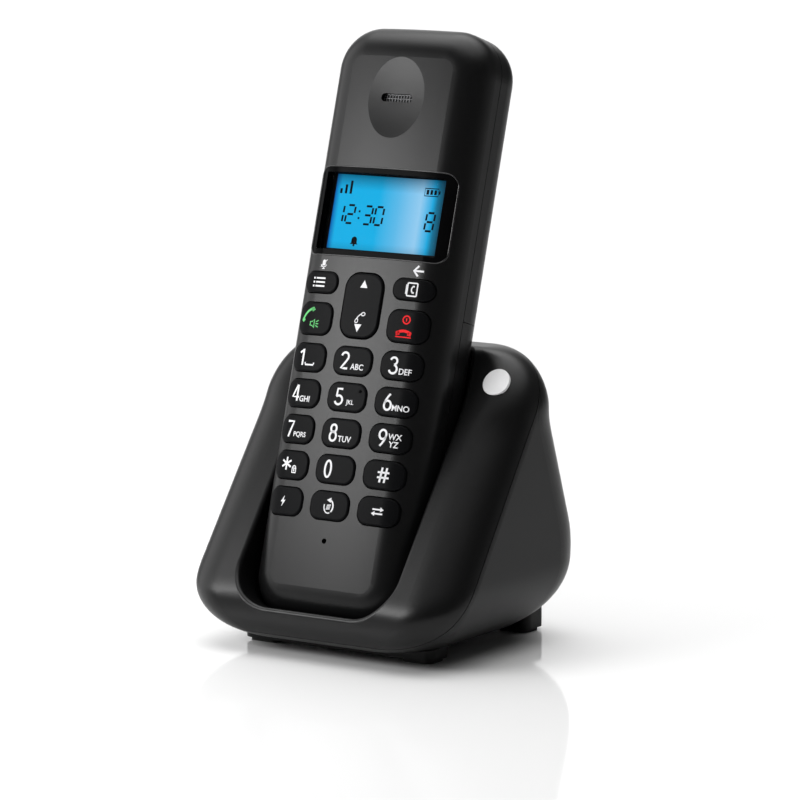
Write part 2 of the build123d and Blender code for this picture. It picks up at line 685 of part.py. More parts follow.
def rear_plane_y(z):
    """Where the base's back lies at a height."""
    return BASE_DEPTH / 2 - HEEL_RADIUS + leaning_face(z, SOLE, BASE_TOP, HEEL_RADIUS, REAR_LEAN)


def front_of_seam(shift):
    """The space in front of the leaning seam between the base's two shells, moved back by a shift."""
    middle = BASE_TOP / 2
    middle_y = front_plane_y(middle) + SEAM_DEPTH / cos_deg(FRONT_LEAN) + shift
    rise = BASE_TOP
    run = rise * tan_deg(FRONT_LEAN)
    outline = Polyline(
        (-CLEAR, middle - rise), (middle_y - run, middle - rise),
        (middle_y + run, middle + rise), (-CLEAR, middle + rise),
        close=True,
    )
    return extrude(Plane.YZ * make_face(outline), CLEAR, both=True)


BASE_OUTER = base_form()
BASE_INNER = base_form(BASE_WALL)
BASE_SKIN = BASE_OUTER - BASE_INNER
CRADLE = HANDSET_PLACE * cradle_form()
CRADLE_SHELL = HANDSET_PLACE * cradle_form(CRADLE_WALL)


def badge_place():
    """The badge's seat on the leaning front of the base's right arm."""
    return Plane(
        origin=(BASE_WIDTH / 2 - BADGE_INSET, front_plane_y(BADGE_HEIGHT), BADGE_HEIGHT),
        x_dir=(1, 0, 0),
        z_dir=(0, -cos_deg(FRONT_LEAN), sin_deg(FRONT_LEAN)),
    ).location


def pin_place(side):
    """A charging pin's place on the handset's back, with its axis out of the back wall."""
    return HANDSET_PLACE * Pos(side * PAD_ACROSS, PAD_HEIGHT, -HANDSET_DEPTH)


def make_base_front_shell():
    """The base's front: its leaning face and arms, with the cradle that the handset stands in."""
    solid = (BASE_SKIN & front_of_seam(0)) + (CRADLE_SHELL & BASE_OUTER)
    shell = solid - CRADLE
    rim = new_edges(solid, CRADLE, combined=shell)
    shell = fillet(rim, CRADLE_RIM)
    for side in (-1, 1):
        hole = pin_place(side) * Cylinder(PIN_WIDTH / 2 + PIN_GAP, 4 * CRADLE_WALL)
        shell = shell - hole
    return shell - badge_place() * Cylinder(BADGE_WIDTH / 2 + BADGE_GAP, 2 * BADGE_THICKNESS)


def make_badge():
    """A bare round disc let into the front of the right arm."""
    return badge_place() * Pos(0, 0, -BADGE_THICKNESS / 2) * Cylinder(BADGE_WIDTH / 2, BADGE_THICKNESS)


def socket_box(side, mouth_width, grow=0.0):
    """The outside of a socket at the base's back, from the board to just inside the rear surface."""
    front = BASE_BOARD_FRONT + BOARD_THICKNESS
    rear = rear_plane_y(SOCKET_HEIGHT) - SOCKET_INSET
    width = mouth_width + 2 * (SOCKET_WALL + grow)
    height = SOCKET_MOUTH_HEIGHT + 2 * (SOCKET_WALL + grow)
    return Pos(side * SOCKET_ACROSS, (front + rear) / 2, SOCKET_HEIGHT) * Box(width, rear - front + 2 * grow, height)


def make_socket(side, mouth_width):
    """A modular socket: a box with a mouth to the rear and a notch for the plug's latch."""
    rear = rear_plane_y(SOCKET_HEIGHT) - SOCKET_INSET
    middle = rear - SOCKET_MOUTH_DEPTH / 2
    mouth = Pos(side * SOCKET_ACROSS, middle, SOCKET_HEIGHT) * Box(
        mouth_width, SOCKET_MOUTH_DEPTH, SOCKET_MOUTH_HEIGHT
    )
    latch = Pos(side * SOCKET_ACROSS, middle, SOCKET_HEIGHT - SOCKET_MOUTH_HEIGHT / 2) * Box(
        SOCKET_LATCH_WIDTH, SOCKET_MOUTH_DEPTH, 2 * SOCKET_LATCH_HEIGHT
    )
    return socket_box(side, mouth_width) - mouth - latch


def page_cylinder(width, y_low, y_high):
    """A round bar along the base's depth at the page key."""
    return Pos(0, (y_low + y_high) / 2, PAGE_HEIGHT) * Rot(90, 0, 0) * Cylinder(width / 2, y_high - y_low)


def page_slice(width, outer, inner):
    """A slice of that bar between two levels over the base's back face."""
    normal = Vector(0, cos_deg(REAR_LEAN), sin_deg(REAR_LEAN))
    foot = Vector(0, rear_plane_y(PAGE_HEIGHT), PAGE_HEIGHT)
    bar = page_cylinder(width, 0, CLEAR)
    bar = split(bar, Plane(origin=foot + normal * outer, x_dir=(1, 0, 0), z_dir=normal), keep=Keep.BOTTOM)
    return split(bar, Plane(origin=foot + normal * inner, x_dir=(1, 0, 0), z_dir=normal), keep=Keep.TOP)


def make_page_key():
    """The page key: a cap in the back wall, a collar inside it and a stem to its switch."""
    collar_top = -BASE_WALL - FLANGE_GAP
    cap_part = page_slice(PAGE_WIDTH, PAGE_RISE, collar_top)
    collar = page_slice(PAGE_WIDTH + 2 * PAGE_COLLAR, collar_top, collar_top - PAGE_COLLAR_THICKNESS)
    stem_low = BASE_BOARD_FRONT + BOARD_THICKNESS + PAGE_SWITCH_DEPTH + PAGE_TRAVEL + PAGE_SWITCH_GAP
    stem = page_cylinder(PAGE_STEM_WIDTH, stem_low, rear_plane_y(PAGE_HEIGHT) - BASE_WALL)
    return cap_part + collar + stem


def make_page_switch():
    middle = BASE_BOARD_FRONT + BOARD_THICKNESS + PAGE_SWITCH_DEPTH / 2
    return Pos(0, middle, PAGE_HEIGHT) * Box(PAGE_SWITCH_WIDTH, PAGE_SWITCH_DEPTH, PAGE_SWITCH_WIDTH)


def make_base_board():
    board = Box(BASE_BOARD_WIDTH, BOARD_THICKNESS, BASE_BOARD_TOP)
    board = Pos(0, BASE_BOARD_FRONT + BOARD_THICKNESS / 2, BASE_BOARD_TOP / 2) * board
    return board & base_form(BASE_WALL + BASE_BOARD_LIFT)


def board_guides():
    """Upright lugs on the rear shell's floor that hold the board between them."""
    low = SOLE + BASE_WALL / 2
    lugs = []
    for side in (-1, 1):
        x = side * (BASE_BOARD_WIDTH - GUIDE_WIDTH) / 2
        for y in (BASE_BOARD_FRONT - GUIDE_GAP - GUIDE_THICKNESS / 2,
                  BASE_BOARD_FRONT + BOARD_THICKNESS + GUIDE_GAP + GUIDE_THICKNESS / 2):
            lugs.append(Pos(x, y, low + GUIDE_HEIGHT / 2) * Box(GUIDE_WIDTH, GUIDE_THICKNESS, GUIDE_HEIGHT))
    return joined(lugs)


def base_pillar(x, y, z_low, z_high, width):
    return Pos(x, y, (z_low + z_high) / 2) * Cylinder(width / 2, z_high - z_low)


def make_base_rear_shell():
    """The base's rear: back, sides and floor, with sockets' holes, board lugs and screw bosses."""
    shell = BASE_SKIN - front_of_seam(SEAM_GAP)
    floor = SOLE + BASE_WALL / 2
    bosses = [base_pillar(x, y, floor, floor + BASE_BOSS_HEIGHT, BASE_BOSS_WIDTH) for x, y in BASE_SCREW_PLACES]
    shell = shell + board_guides() + joined(bosses)
    shell = shell - HANDSET_PLACE * cradle_form(CRADLE_WALL + SEAM_GAP)
    for x, y in BASE_SCREW_PLACES:
        shell = shell - base_pillar(x, y, 0, floor + BASE_BOSS_HEIGHT - BASE_BOSS_CAP, SCREW_SHANK)
    for side, mouth_width in ((-1, LINE_MOUTH_WIDTH), (1, POWER_MOUTH_WIDTH)):
        tunnel = socket_box(side, mouth_width, SOCKET_GAP)
        shell = shell - tunnel - Pos(0, BASE_WALL * 2, 0) * tunnel
    return shell - page_cylinder(PAGE_WIDTH + 2 * PAGE_GAP, BASE_BOARD_FRONT + BOARD_THICKNESS, CLEAR)


def plate_bar(width, y_low, y_high):
    outline = RectangleRounded(width, y_high - y_low, PLATE_CORNER)
    return extrude(Pos(0, (y_low + y_high) / 2, PLATE_LIFT) * outline, SOLE - PLATE_LIFT + PLATE_REACH)


def make_bottom_plate():
    """The plate under the base: a spine with a wide bar at each end, shaped to the shell above it."""
    plate = plate_bar(SPINE_WIDTH, PLATE_FRONT, PLATE_REAR)
    plate = plate + plate_bar(BAR_WIDTH, PLATE_FRONT, PLATE_FRONT + BAR_DEPTH)
    plate = plate + plate_bar(BAR_WIDTH, PLATE_REAR - BAR_DEPTH, PLATE_REAR)
    plate = plate - base_form(-PLATE_FIT)
    for x, y in BASE_SCREW_PLACES:
        plate = plate - base_pillar(x, y, 0, CLEAR, SCREW_SHANK + 2 * PLATE_FIT)
        plate = plate - base_pillar(x, y, 0, PLATE_LIFT + SCREW_HEAD_DEPTH, SCREW_HEAD + 2 * PLATE_FIT)
    return plate


def make_base_screws():
    screws = []
    seat = PLATE_LIFT + SCREW_HEAD_DEPTH
    for x, y in BASE_SCREW_PLACES:
        shank = base_pillar(x, y, seat, SOLE + BASE_WALL / 2 + SCREW_BITE, SCREW_SHANK)
        head = base_pillar(x, y, PLATE_LIFT, seat, SCREW_HEAD)
        screws.append(shank + head - cross_recess(Pos(x, y, PLATE_LIFT)))
    return Compound(children=screws)


def make_feet():
    """Four soft pads under the ends of the plate's two bars."""
    feet = []
    x = BAR_WIDTH / 2 - FOOT_WIDTH / 2 - FOOT_CORNER / 2
    for side in (-1, 1):
        for y in (PLATE_FRONT + BAR_DEPTH / 2, PLATE_REAR - BAR_DEPTH / 2):
            outline = RectangleRounded(FOOT_WIDTH, FOOT_LENGTH, FOOT_CORNER)
            feet.append(extrude(Pos(side * x, y, 0) * outline, PLATE_LIFT))
    return Compound(children=feet)


def make_contact_block():
    """The block behind the cradle's back wall that guides the two charging pins."""
    half = PAD_ACROSS + PIN_COLLAR_WIDTH / 2 + CONTACT_BLOCK_MARGIN
    low = PAD_HEIGHT - CONTACT_BLOCK_HEIGHT / 2
    seat = -HANDSET_DEPTH - CRADLE_BACK - CRADLE_WALL
    bore_end = seat - FLANGE_GAP - PIN_COLLAR - PIN_TAIL - PIN_TRAVEL - PIN_GAP
    block = slab(-half, half, low, low + CONTACT_BLOCK_HEIGHT, bore_end - CONTACT_BLOCK_WALL, seat)
    for side in (-1, 1):
        bore = pillar(side * PAD_ACROSS, PAD_HEIGHT, bore_end, CLEAR, PIN_COLLAR_WIDTH + 2 * PIN_GAP)
        block = block - bore
    return HANDSET_PLACE * block


def make_charge_pin(side):
    """One charging pin: a round-ended pin with a collar that stops it inside the cradle wall."""
    wall_back = -CRADLE_BACK - CRADLE_WALL
    tip = -PIN_PAD_GAP
    collar_top = wall_back - FLANGE_GAP
    collar_bottom = collar_top - PIN_COLLAR
    pin = pillar(0, 0, collar_bottom - PIN_TAIL, tip, PIN_WIDTH)
    pin = fillet(pin.faces().sort_by(Axis.Z)[-1].edges(), PIN_TIP_EDGE)
    collar = pillar(0, 0, collar_bottom, collar_top, PIN_COLLAR_WIDTH)
    return pin_place(side) * (pin + collar)


def base_pieces():
    """Every piece of the base."""
    return {
        "base_front_shell": make_base_front_shell(),
        "base_rear_shell": make_base_rear_shell(),
        "base_bottom_plate": make_bottom_plate(),
        "base_circuit_board": make_base_board(),
        "contact_block": make_contact_block(),
        "charge_pin_left": make_charge_pin(-1),
        "charge_pin_right": make_charge_pin(1),
        "line_socket": make_socket(-1, LINE_MOUTH_WIDTH),
        "power_socket": make_socket(1, POWER_MOUTH_WIDTH),
        "page_key": make_page_key(),
        "page_switch": make_page_switch(),
        "badge_disc": make_badge(),
        "rubber_feet": make_feet(),
        "base_screws": make_base_screws(),
    }


def main():
    os.makedirs("parts", exist_ok=True)
    pieces = base_pieces()
    for name, piece in handset_pieces().items():
        pieces[name] = HANDSET_PLACE * piece
    for name, piece in pieces.items():
        export_step(piece, os.path.join("parts", name + ".step"))


main()
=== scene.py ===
"""Looks of a cordless telephone that stands in its charging base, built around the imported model."""

import json
from math import asin, cos, degrees, hypot, pi, radians, sin

import bmesh
import bpy
from bpy.props import FloatProperty, FloatVectorProperty, IntProperty, PointerProperty
from mathutils import Matrix, Vector
from mathutils.bvhtree import BVHTree


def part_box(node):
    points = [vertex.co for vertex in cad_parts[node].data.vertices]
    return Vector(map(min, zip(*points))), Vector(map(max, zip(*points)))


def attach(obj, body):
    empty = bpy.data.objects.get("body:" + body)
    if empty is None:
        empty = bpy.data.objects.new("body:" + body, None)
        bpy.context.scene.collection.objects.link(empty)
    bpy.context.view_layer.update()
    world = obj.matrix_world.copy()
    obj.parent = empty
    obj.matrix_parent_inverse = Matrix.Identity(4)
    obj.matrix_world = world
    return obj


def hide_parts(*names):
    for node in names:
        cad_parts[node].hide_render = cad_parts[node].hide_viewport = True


bl_info = {
    "name": "Cordless Telephone Looks",
    "version": (1, 0, 0),
    "blender": (4, 5, 0),
    "location": "View3D > Sidebar > Telephone",
    "description": "Finishes a cordless telephone and its charging base",
    "category": "Object",
}

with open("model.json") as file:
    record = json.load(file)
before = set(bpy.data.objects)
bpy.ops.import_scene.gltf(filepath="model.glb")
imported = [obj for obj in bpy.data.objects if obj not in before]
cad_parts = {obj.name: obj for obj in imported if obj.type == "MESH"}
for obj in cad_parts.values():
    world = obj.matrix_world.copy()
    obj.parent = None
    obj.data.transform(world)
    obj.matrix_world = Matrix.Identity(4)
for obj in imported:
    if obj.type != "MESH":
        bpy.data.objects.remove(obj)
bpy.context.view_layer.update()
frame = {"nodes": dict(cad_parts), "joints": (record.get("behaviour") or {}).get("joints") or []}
NODES = frame["nodes"]
MM = 0.001

# The handset's own axes: across its face, up its length and out of its face
ACROSS = Vector((1, 0, 0))
LENGTHWISE = Vector(next(j["axis"] for j in frame["joints"] if j["name"] == "handset_lift"))
OUTWARD = Vector((0, -LENGTHWISE.z, LENGTHWISE.y))
FRONT_POINTS = [vertex.co for vertex in NODES["handset_front_shell"].data.vertices]
LOW_END = min(point.dot(LENGTHWISE) for point in FRONT_POINTS)
FACE_LEVEL = max(point.dot(OUTWARD) for point in FRONT_POINTS)

# The pieces that a finger presses on the handset, each a body of its own
KEY_NODES = ["nav_rocker"] + [node for node in NODES if node.startswith("key_")]


def on_handset(u, v, w):
    """A point of the shared frame from millimetres in the handset's own axes."""
    return ACROSS * (u * MM) + LENGTHWISE * (LOW_END + v * MM) + OUTWARD * (FACE_LEVEL + w * MM)


def handset_matrix(u, v, w):
    """The place of a drawing that lies on the handset's face, with its origin at a point there."""
    place = Matrix((ACROSS, LENGTHWISE, OUTWARD)).transposed().to_4x4()
    place.translation = on_handset(u, v, w)
    return place


def middle_of(node):
    """The middle of a node in the handset's own axes, in millimetres."""
    points = [vertex.co for vertex in NODES[node].data.vertices]
    spans = []
    for axis, start in ((ACROSS, 0.0), (LENGTHWISE, LOW_END), (OUTWARD, FACE_LEVEL)):
        reach = [point.dot(axis) - start for point in points]
        spans.append((min(reach) + max(reach)) / 2 / MM)
    return spans


class ShellSettings(bpy.types.PropertyGroup):
    """Colours and surface of the moulded pieces."""

    shell_colour: FloatVectorProperty(
        name="Shell colour", description="Colour of the two housings", subtype="COLOR",
        min=0, max=1, default=(0.0034, 0.0034, 0.0036),
    )
    key_colour: FloatVectorProperty(
        name="Key colour", description="Colour of the keys", subtype="COLOR",
        min=0, max=1, default=(0.0042, 0.0043, 0.0047),
    )
    grain_size: FloatProperty(
        name="Grain size", description="Size of the moulded grain", subtype="DISTANCE",
        min=0.00005, max=0.002, default=0.00028,
    )
    shell_roughness: FloatProperty(
        name="Shell roughness", description="How dull the housings are", min=0, max=1, default=0.33,
    )
    shell_gloss: FloatProperty(
        name="Shell gloss", description="How strongly the housings reflect", min=0, max=1, default=0.25,
    )
    key_gloss: FloatProperty(
        name="Key gloss", description="How strongly the keys reflect", min=0, max=1, default=0.028,
    )


class PrintSettings(bpy.types.PropertyGroup):
    """Sizes and colours of what is printed on the keys."""

    ink: FloatVectorProperty(
        name="Ink", description="Colour of the numbers and signs", subtype="COLOR",
        min=0, max=1, default=(0.72, 0.72, 0.735),
    )
    talk_ink: FloatVectorProperty(
        name="Talk ink", description="Colour of the signs on the talk key", subtype="COLOR",
        min=0, max=1, default=(0.13, 0.50, 0.17),
    )
    end_ink: FloatVectorProperty(
        name="End ink", description="Colour of the signs on the end key", subtype="COLOR",
        min=0, max=1, default=(0.72, 0.022, 0.025),
    )
    number_height: FloatProperty(
        name="Number height", description="Height of the printed numbers", subtype="DISTANCE",
        min=0.001, max=0.008, default=0.0043,
    )
    letter_height: FloatProperty(
        name="Letter height", description="Height of the small letters", subtype="DISTANCE",
        min=0.0005, max=0.004, default=0.0016,
    )
    weight: FloatProperty(
        name="Weight", description="How much bolder than the plain type", min=0, max=0.1, default=0.018,
    )
    ink_height: FloatProperty(
        name="Ink height", description="How far the ink stands on the surface", subtype="DISTANCE",
        min=0.000005, max=0.0002, default=0.00002,
    )


class DisplaySettings(bpy.types.PropertyGroup):
    """The lit display behind the dark window."""

    glow: FloatProperty(
        name="Glow", description="Brightness of the backlight", min=0, max=10, default=1.0,
    )
    active_width: FloatProperty(
        name="Active width", description="Width of the lit area", subtype="DISTANCE",
        min=0.02, max=0.05, default=0.0338,
    )
    active_height: FloatProperty(
        name="Active height", description="Height of the lit area", subtype="DISTANCE",
        min=0.01, max=0.04, default=0.0198,
    )
    active_middle: FloatProperty(
        name="Active middle", description="Height of the lit area's middle over the handset's lower end",
        subtype="DISTANCE", min=0.05, max=0.15, default=0.1082,
    )
    digit_height: FloatProperty(
        name="Digit height", description="Height of the display's digits", subtype="DISTANCE",
        min=0.002, max=0.01, default=0.0048,
    )


class RepeatSettings(bpy.types.PropertyGroup):
    """What repeats: the mesh behind the ear slot and the sockets' wires."""

    mesh_pitch: FloatProperty(
        name="Mesh pitch", description="Distance between the ear mesh's wires", subtype="DISTANCE",
        min=0.0002, max=0.002, default=0.00085,
    )
    mesh_wire: FloatProperty(
        name="Mesh wire", description="Radius of the ear mesh's wires", subtype="DISTANCE",
        min=0.00002, max=0.0005, default=0.00016,
    )
    wire_count: IntProperty(
        name="Wire count", description="Contact wires in the line socket", min=1, max=8, default=4,
    )
    wire_pitch: FloatProperty(
        name="Wire pitch", description="Distance between the sockets' wires", subtype="DISTANCE",
        min=0.0005, max=0.003, default=0.00102,
    )


class StageSettings(bpy.types.PropertyGroup):
    """Camera, floor and light."""

    azimuth: FloatProperty(
        name="Azimuth", description="Camera's turn to the right of the front", subtype="ANGLE",
        default=radians(33.5),
    )
    elevation: FloatProperty(
        name="Elevation", description="Camera's height over the level", subtype="ANGLE",
        default=radians(8.86),
    )
    lens: FloatProperty(
        name="Lens", description="Focal length in millimetres", min=20, max=400, default=189.0,
    )
    camera_place: FloatVectorProperty(
        name="Camera place", description="Where the camera stands", subtype="TRANSLATION",
        default=(0.60425, -0.9063, 0.23326),
    )
    overhead: FloatProperty(
        name="Overhead light", description="Strength of the wide lamp overhead", min=0, max=20, default=0.6,
    )
    softbox: FloatProperty(
        name="Softbox", description="Brightness of the near softbox", min=0, max=50, default=9.8,
    )
    softbox_place: FloatVectorProperty(
        name="Softbox place", description="Where the near softbox hangs", subtype="TRANSLATION",
        default=(-0.163, -0.256, 0.187),
    )
    softbox_size: FloatVectorProperty(
        name="Softbox size", description="Width and height of the near softbox", subtype="XYZ_LENGTH",
        size=2, default=(0.2, 0.135),
    )


def settings():
    return bpy.context.scene.telephone_looks


class LookSettings(bpy.types.PropertyGroup):
    """Every group of settings."""

    shell: PointerProperty(type=ShellSettings)
    ink: PointerProperty(type=PrintSettings)
    display: PointerProperty(type=DisplaySettings)
    repeat: PointerProperty(type=RepeatSettings)
    stage: PointerProperty(type=StageSettings)


# Node trees and materials


class Nodes:
    """A node tree, with short ways to add to it."""

    def __init__(self, tree):
        self.tree = tree

    def put(self, value, socket):
        """Feeds an input from an output, or gives it a value of its own."""
        if isinstance(value, bpy.types.NodeSocket):
            self.tree.links.new(value, socket)
        else:
            socket.default_value = value

    def add(self, kind, **values):
        """A new node, with its inputs and its own settings given by name."""
        node = self.tree.nodes.new(kind)
        for name, value in values.items():
            label = name.replace("_", " ")
            if label in node.inputs:
                self.put(value, node.inputs[label])
            else:
                setattr(node, name, value)
        return node

    def maths(self, operation, *terms):
        """A sum, product or test of numbers."""
        node = self.add("ShaderNodeMath", operation=operation)
        for term, socket in zip(terms, node.inputs):
            self.put(term, socket)
        return node.outputs[0]

    def reach(self, vector, axis):
        """How far a vector reaches along an axis."""
        node = self.add("ShaderNodeVectorMath", operation="DOT_PRODUCT", Vector=vector)
        node.inputs[1].default_value = axis
        return node.outputs["Value"]

    def ramp(self, source, low, high, start=0.3, end=0.7, curve="LINEAR"):
        """Turns a number between a start and an end, such as a noise, into one between two others."""
        node = self.add(
            "ShaderNodeMapRange", interpolation_type=curve, Value=source,
            From_Min=start, From_Max=end, To_Min=low, To_Max=high,
        )
        return node.outputs["Result"]


class Shading(Nodes):
    """A material's node tree with its surface shader."""

    def __init__(self, name):
        self.material = bpy.data.materials.new(name)
        self.material.use_nodes = True
        super().__init__(self.material.node_tree)
        self.surface = self.tree.nodes["Principled BSDF"]

    def set(self, **values):
        """Sets or feeds inputs of the surface."""
        for name, value in values.items():
            self.put(value, self.surface.inputs[name.replace("_", " ")])

    def coordinates(self):
        return self.add("ShaderNodeTexCoord").outputs["Object"]

    def noise(self, size, detail=2.0, roughness=0.5):
        node = self.add(
            "ShaderNodeTexNoise", Vector=self.coordinates(),
            Scale=1.0 / size, Detail=detail, Roughness=roughness,
        )
        return node.outputs["Fac"]

    def tint(self, source, low, high):
        """Colours the surface between two colours."""
        node = self.add("ShaderNodeMix", data_type="RGBA", Factor=source)
        colour_a, colour_b = node.inputs[6], node.inputs[7]
        colour_a.default_value = (*low, 1)
        colour_b.default_value = (*high, 1)
        self.set(Base_Color=node.outputs[2])

    def tone(self, source, colour, low, high):
        """Colours the surface between two shares of one colour."""
        dark, light = ([min(1.0, part * share) for part in colour] for share in (low, high))
        self.tint(source, dark, light)

    def dull(self, source, low, high):
        """Makes the surface dull between two roughnesses."""
        self.set(Roughness=self.ramp(source, low, high))

    def bump(self, source, distance):
        node = self.add("ShaderNodeBump", Distance=distance, Strength=1.0, Height=source)
        self.set(Normal=node.outputs["Normal"])


# Heights of the fine relief of plastic, rubber and metal
GRAIN_DEPTH = 0.000006
RUBBER_DEPTH = 0.00002
SCRATCH_DEPTH = 0.000004


def moulded_plastic(name, colour, roughness, grain, gloss=0.5):
    """Moulded plastic with a fine grain, a slow change of tone and a slightly uneven gloss."""
    shading = Shading(name)
    fine = shading.noise(grain, 3.0, 0.6)
    shading.tone(shading.noise(0.02, 3.0), colour, 0.85, 1.2)
    shading.dull(fine, roughness - 0.05, roughness + 0.05)
    shading.bump(fine, GRAIN_DEPTH)
    shading.set(IOR=1.5, Specular_IOR_Level=gloss)
    return shading.material


def soft_rubber(name, colour):
    shading = Shading(name)
    fine = shading.noise(0.0006, 4.0, 0.7)
    shading.tone(fine, colour, 0.7, 1.3)
    shading.dull(fine, 0.7, 0.9)
    shading.bump(fine, RUBBER_DEPTH)
    return shading.material


def bare_metal(name, colour, roughness):
    """Metal with fine scratches."""
    shading = Shading(name)
    stretch = shading.add("ShaderNodeMapping", Vector=shading.coordinates(), Scale=(1, 12, 12))
    streaks = shading.add("ShaderNodeTexNoise", Vector=stretch.outputs["Vector"], Scale=400.0, Detail=4.0)
    fine = streaks.outputs["Fac"]
    shading.tone(fine, colour, 0.85, 1.1)
    shading.dull(fine, roughness - 0.08, roughness + 0.1)
    shading.bump(fine, SCRATCH_DEPTH)
    shading.set(Metallic=1.0)
    return shading.material


def printed_ink(name, colour):
    shading = Shading(name)
    fine = shading.noise(0.0002)
    shading.tone(fine, colour, 0.94, 1.03)
    shading.dull(fine, 0.45, 0.6)
    shading.set(Specular_IOR_Level=0.03)
    return shading.material


def circuit_board(name):
    """Green lacquer over copper tracks."""
    shading = Shading(name)
    tracks = shading.add(
        "ShaderNodeTexBrick", Vector=shading.coordinates(), Scale=220.0, Mortar_Size=0.04,
        Color1=(0.01, 0.10, 0.035, 1), Color2=(0.012, 0.12, 0.045, 1), Mortar=(0.03, 0.2, 0.06, 1),
    )
    shading.set(Base_Color=tracks.outputs["Color"])
    shading.dull(shading.noise(0.001), 0.25, 0.4)
    return shading.material


def give(material, *nodes):
    """Puts one material on CAD nodes."""
    for node in nodes:
        mesh = NODES[node].data
        mesh.materials.clear()
        mesh.materials.append(material)


# Meshes


def new_object(name, data):
    thing = bpy.data.objects.new(name, data)
    bpy.context.scene.collection.objects.link(thing)
    return thing


def new_piece(name, mesh, material, body):
    """A finished piece from a mesh that is already in place, riding on a body."""
    mesh.materials.clear()
    mesh.materials.append(material)
    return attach(new_object(name, mesh), body)


def flat_mesh(name, outlines):
    """A flat mesh from a list of outlines, each a list of points in the plane in millimetres."""
    sheet = bmesh.new()
    for outline in outlines:
        corners = [sheet.verts.new((x * MM, y * MM, 0)) for x, y in outline]
        sheet.faces.new(corners)
    bmesh.ops.recalc_face_normals(sheet, faces=sheet.faces)
    for face in sheet.faces:
        if face.normal.z < 0:
            face.normal_flip()
    mesh = bpy.data.meshes.new(name)
    sheet.to_mesh(mesh)
    sheet.free()
    return mesh


def evaluated_mesh(holder):
    """The plain mesh of an object with its modifiers applied; the object itself goes."""
    bpy.context.view_layer.update()
    mesh = bpy.data.meshes.new_from_object(holder.evaluated_get(bpy.context.evaluated_depsgraph_get()))
    bpy.data.objects.remove(holder)
    return mesh


def line_of_type(words, height, narrow, weight):
    """A flat mesh of printed words, centred, with capitals of the height asked for."""
    curve = bpy.data.curves.new("words", "FONT")
    curve.body = words
    curve.resolution_u = 4
    curve.offset = weight
    mesh = evaluated_mesh(new_object("words", curve))
    bpy.data.curves.remove(curve)
    xs = [vertex.co.x for vertex in mesh.vertices]
    ys = [vertex.co.y for vertex in mesh.vertices]
    scale = height / (max(ys) - min(ys))
    shift = Vector(((min(xs) + max(xs)) / -2, (min(ys) + max(ys)) / -2, 0))
    for vertex in mesh.vertices:
        x, y, _ = (vertex.co + shift) * scale
        vertex.co = (x * narrow, y, 0)
    return mesh


def arc(x, y, radius, start, end, steps=16):
    """Points along an arc, with its angles in degrees."""
    angles = [radians(start + (end - start) * i / steps) for i in range(steps + 1)]
    return [(x + radius * cos(a), y + radius * sin(a)) for a in angles]


def stroke(points, width, closed=False):
    """Outlines of a pen stroke of even width along points."""
    count = len(points)
    left, right = [], []
    for i, (x, y) in enumerate(points):
        before = points[i - 1] if closed or i > 0 else points[i]
        after = points[(i + 1) % count] if closed or i < count - 1 else points[i]
        run = Vector((after[0] - before[0], after[1] - before[1])).normalized()
        side = Vector((-run.y, run.x)) * width / 2
        left.append((x + side.x, y + side.y))
        right.append((x - side.x, y - side.y))
    steps = [(i, (i + 1) % count) for i in range(count if closed else count - 1)]
    return [[left[i], right[i], right[j], left[j]] for i, j in steps]


def bar(x, y, width, height):
    """A rectangle about its middle."""
    left, right = x - width / 2, x + width / 2
    low, high = y - height / 2, y + height / 2
    return [(left, low), (right, low), (right, high), (left, high)]


# How many points go round an oval, a disc and a fine ring
OVAL, DISC, RING = 24, 20, 48


def oval(x, y, across, up, points=OVAL):
    return [(x + across * c, y + up * s) for c, s in arc(0, 0, 1, 0, 360 - 360 / points, points - 1)]


def disc(x, y, radius):
    return oval(x, y, radius, radius, DISC)


def round_box(half_width, half_height, corner, steps):
    """Points round a rectangle with round corners."""
    x, y = half_width - corner, half_height - corner
    middles = ((x, y), (-x, y), (-x, -y), (x, -y))
    return [
        point for i, middle in enumerate(middles)
        for point in arc(*middle, corner, 90 * i, 90 * i + 90, steps)
    ]


def close_points(line):
    """A closed line with more points, no more than about a millimetre apart."""
    points = []
    for (px, py), (qx, qy) in zip(line, line[1:] + line[:1]):
        parts = max(1, round(hypot(qx - px, qy - py)))
        points += [(px + (qx - px) * i / parts, py + (qy - py) * i / parts) for i in range(parts)]
    return points


def moved(outlines, x, y):
    return [[(px + x, py + y) for px, py in outline] for outline in outlines]


def turned(outlines, angle):
    c, s = cos(radians(angle)), sin(radians(angle))
    return [[(x * c - y * s, x * s + y * c) for x, y in outline] for outline in outlines]


def surface_tree(*nodes):
    """A search tree over the surfaces of some nodes."""
    points, faces = [], []
    for node in nodes:
        mesh = NODES[node].data
        start = len(points)
        points.extend(vertex.co.copy() for vertex in mesh.vertices)
        faces.extend([start + i for i in polygon.vertices] for polygon in mesh.polygons)
    return BVHTree.FromPolygons(points, faces)


# How often a drawing's long edges are halved, and how far over a surface the search for it starts
HALVINGS = 3
SEARCH = 0.01


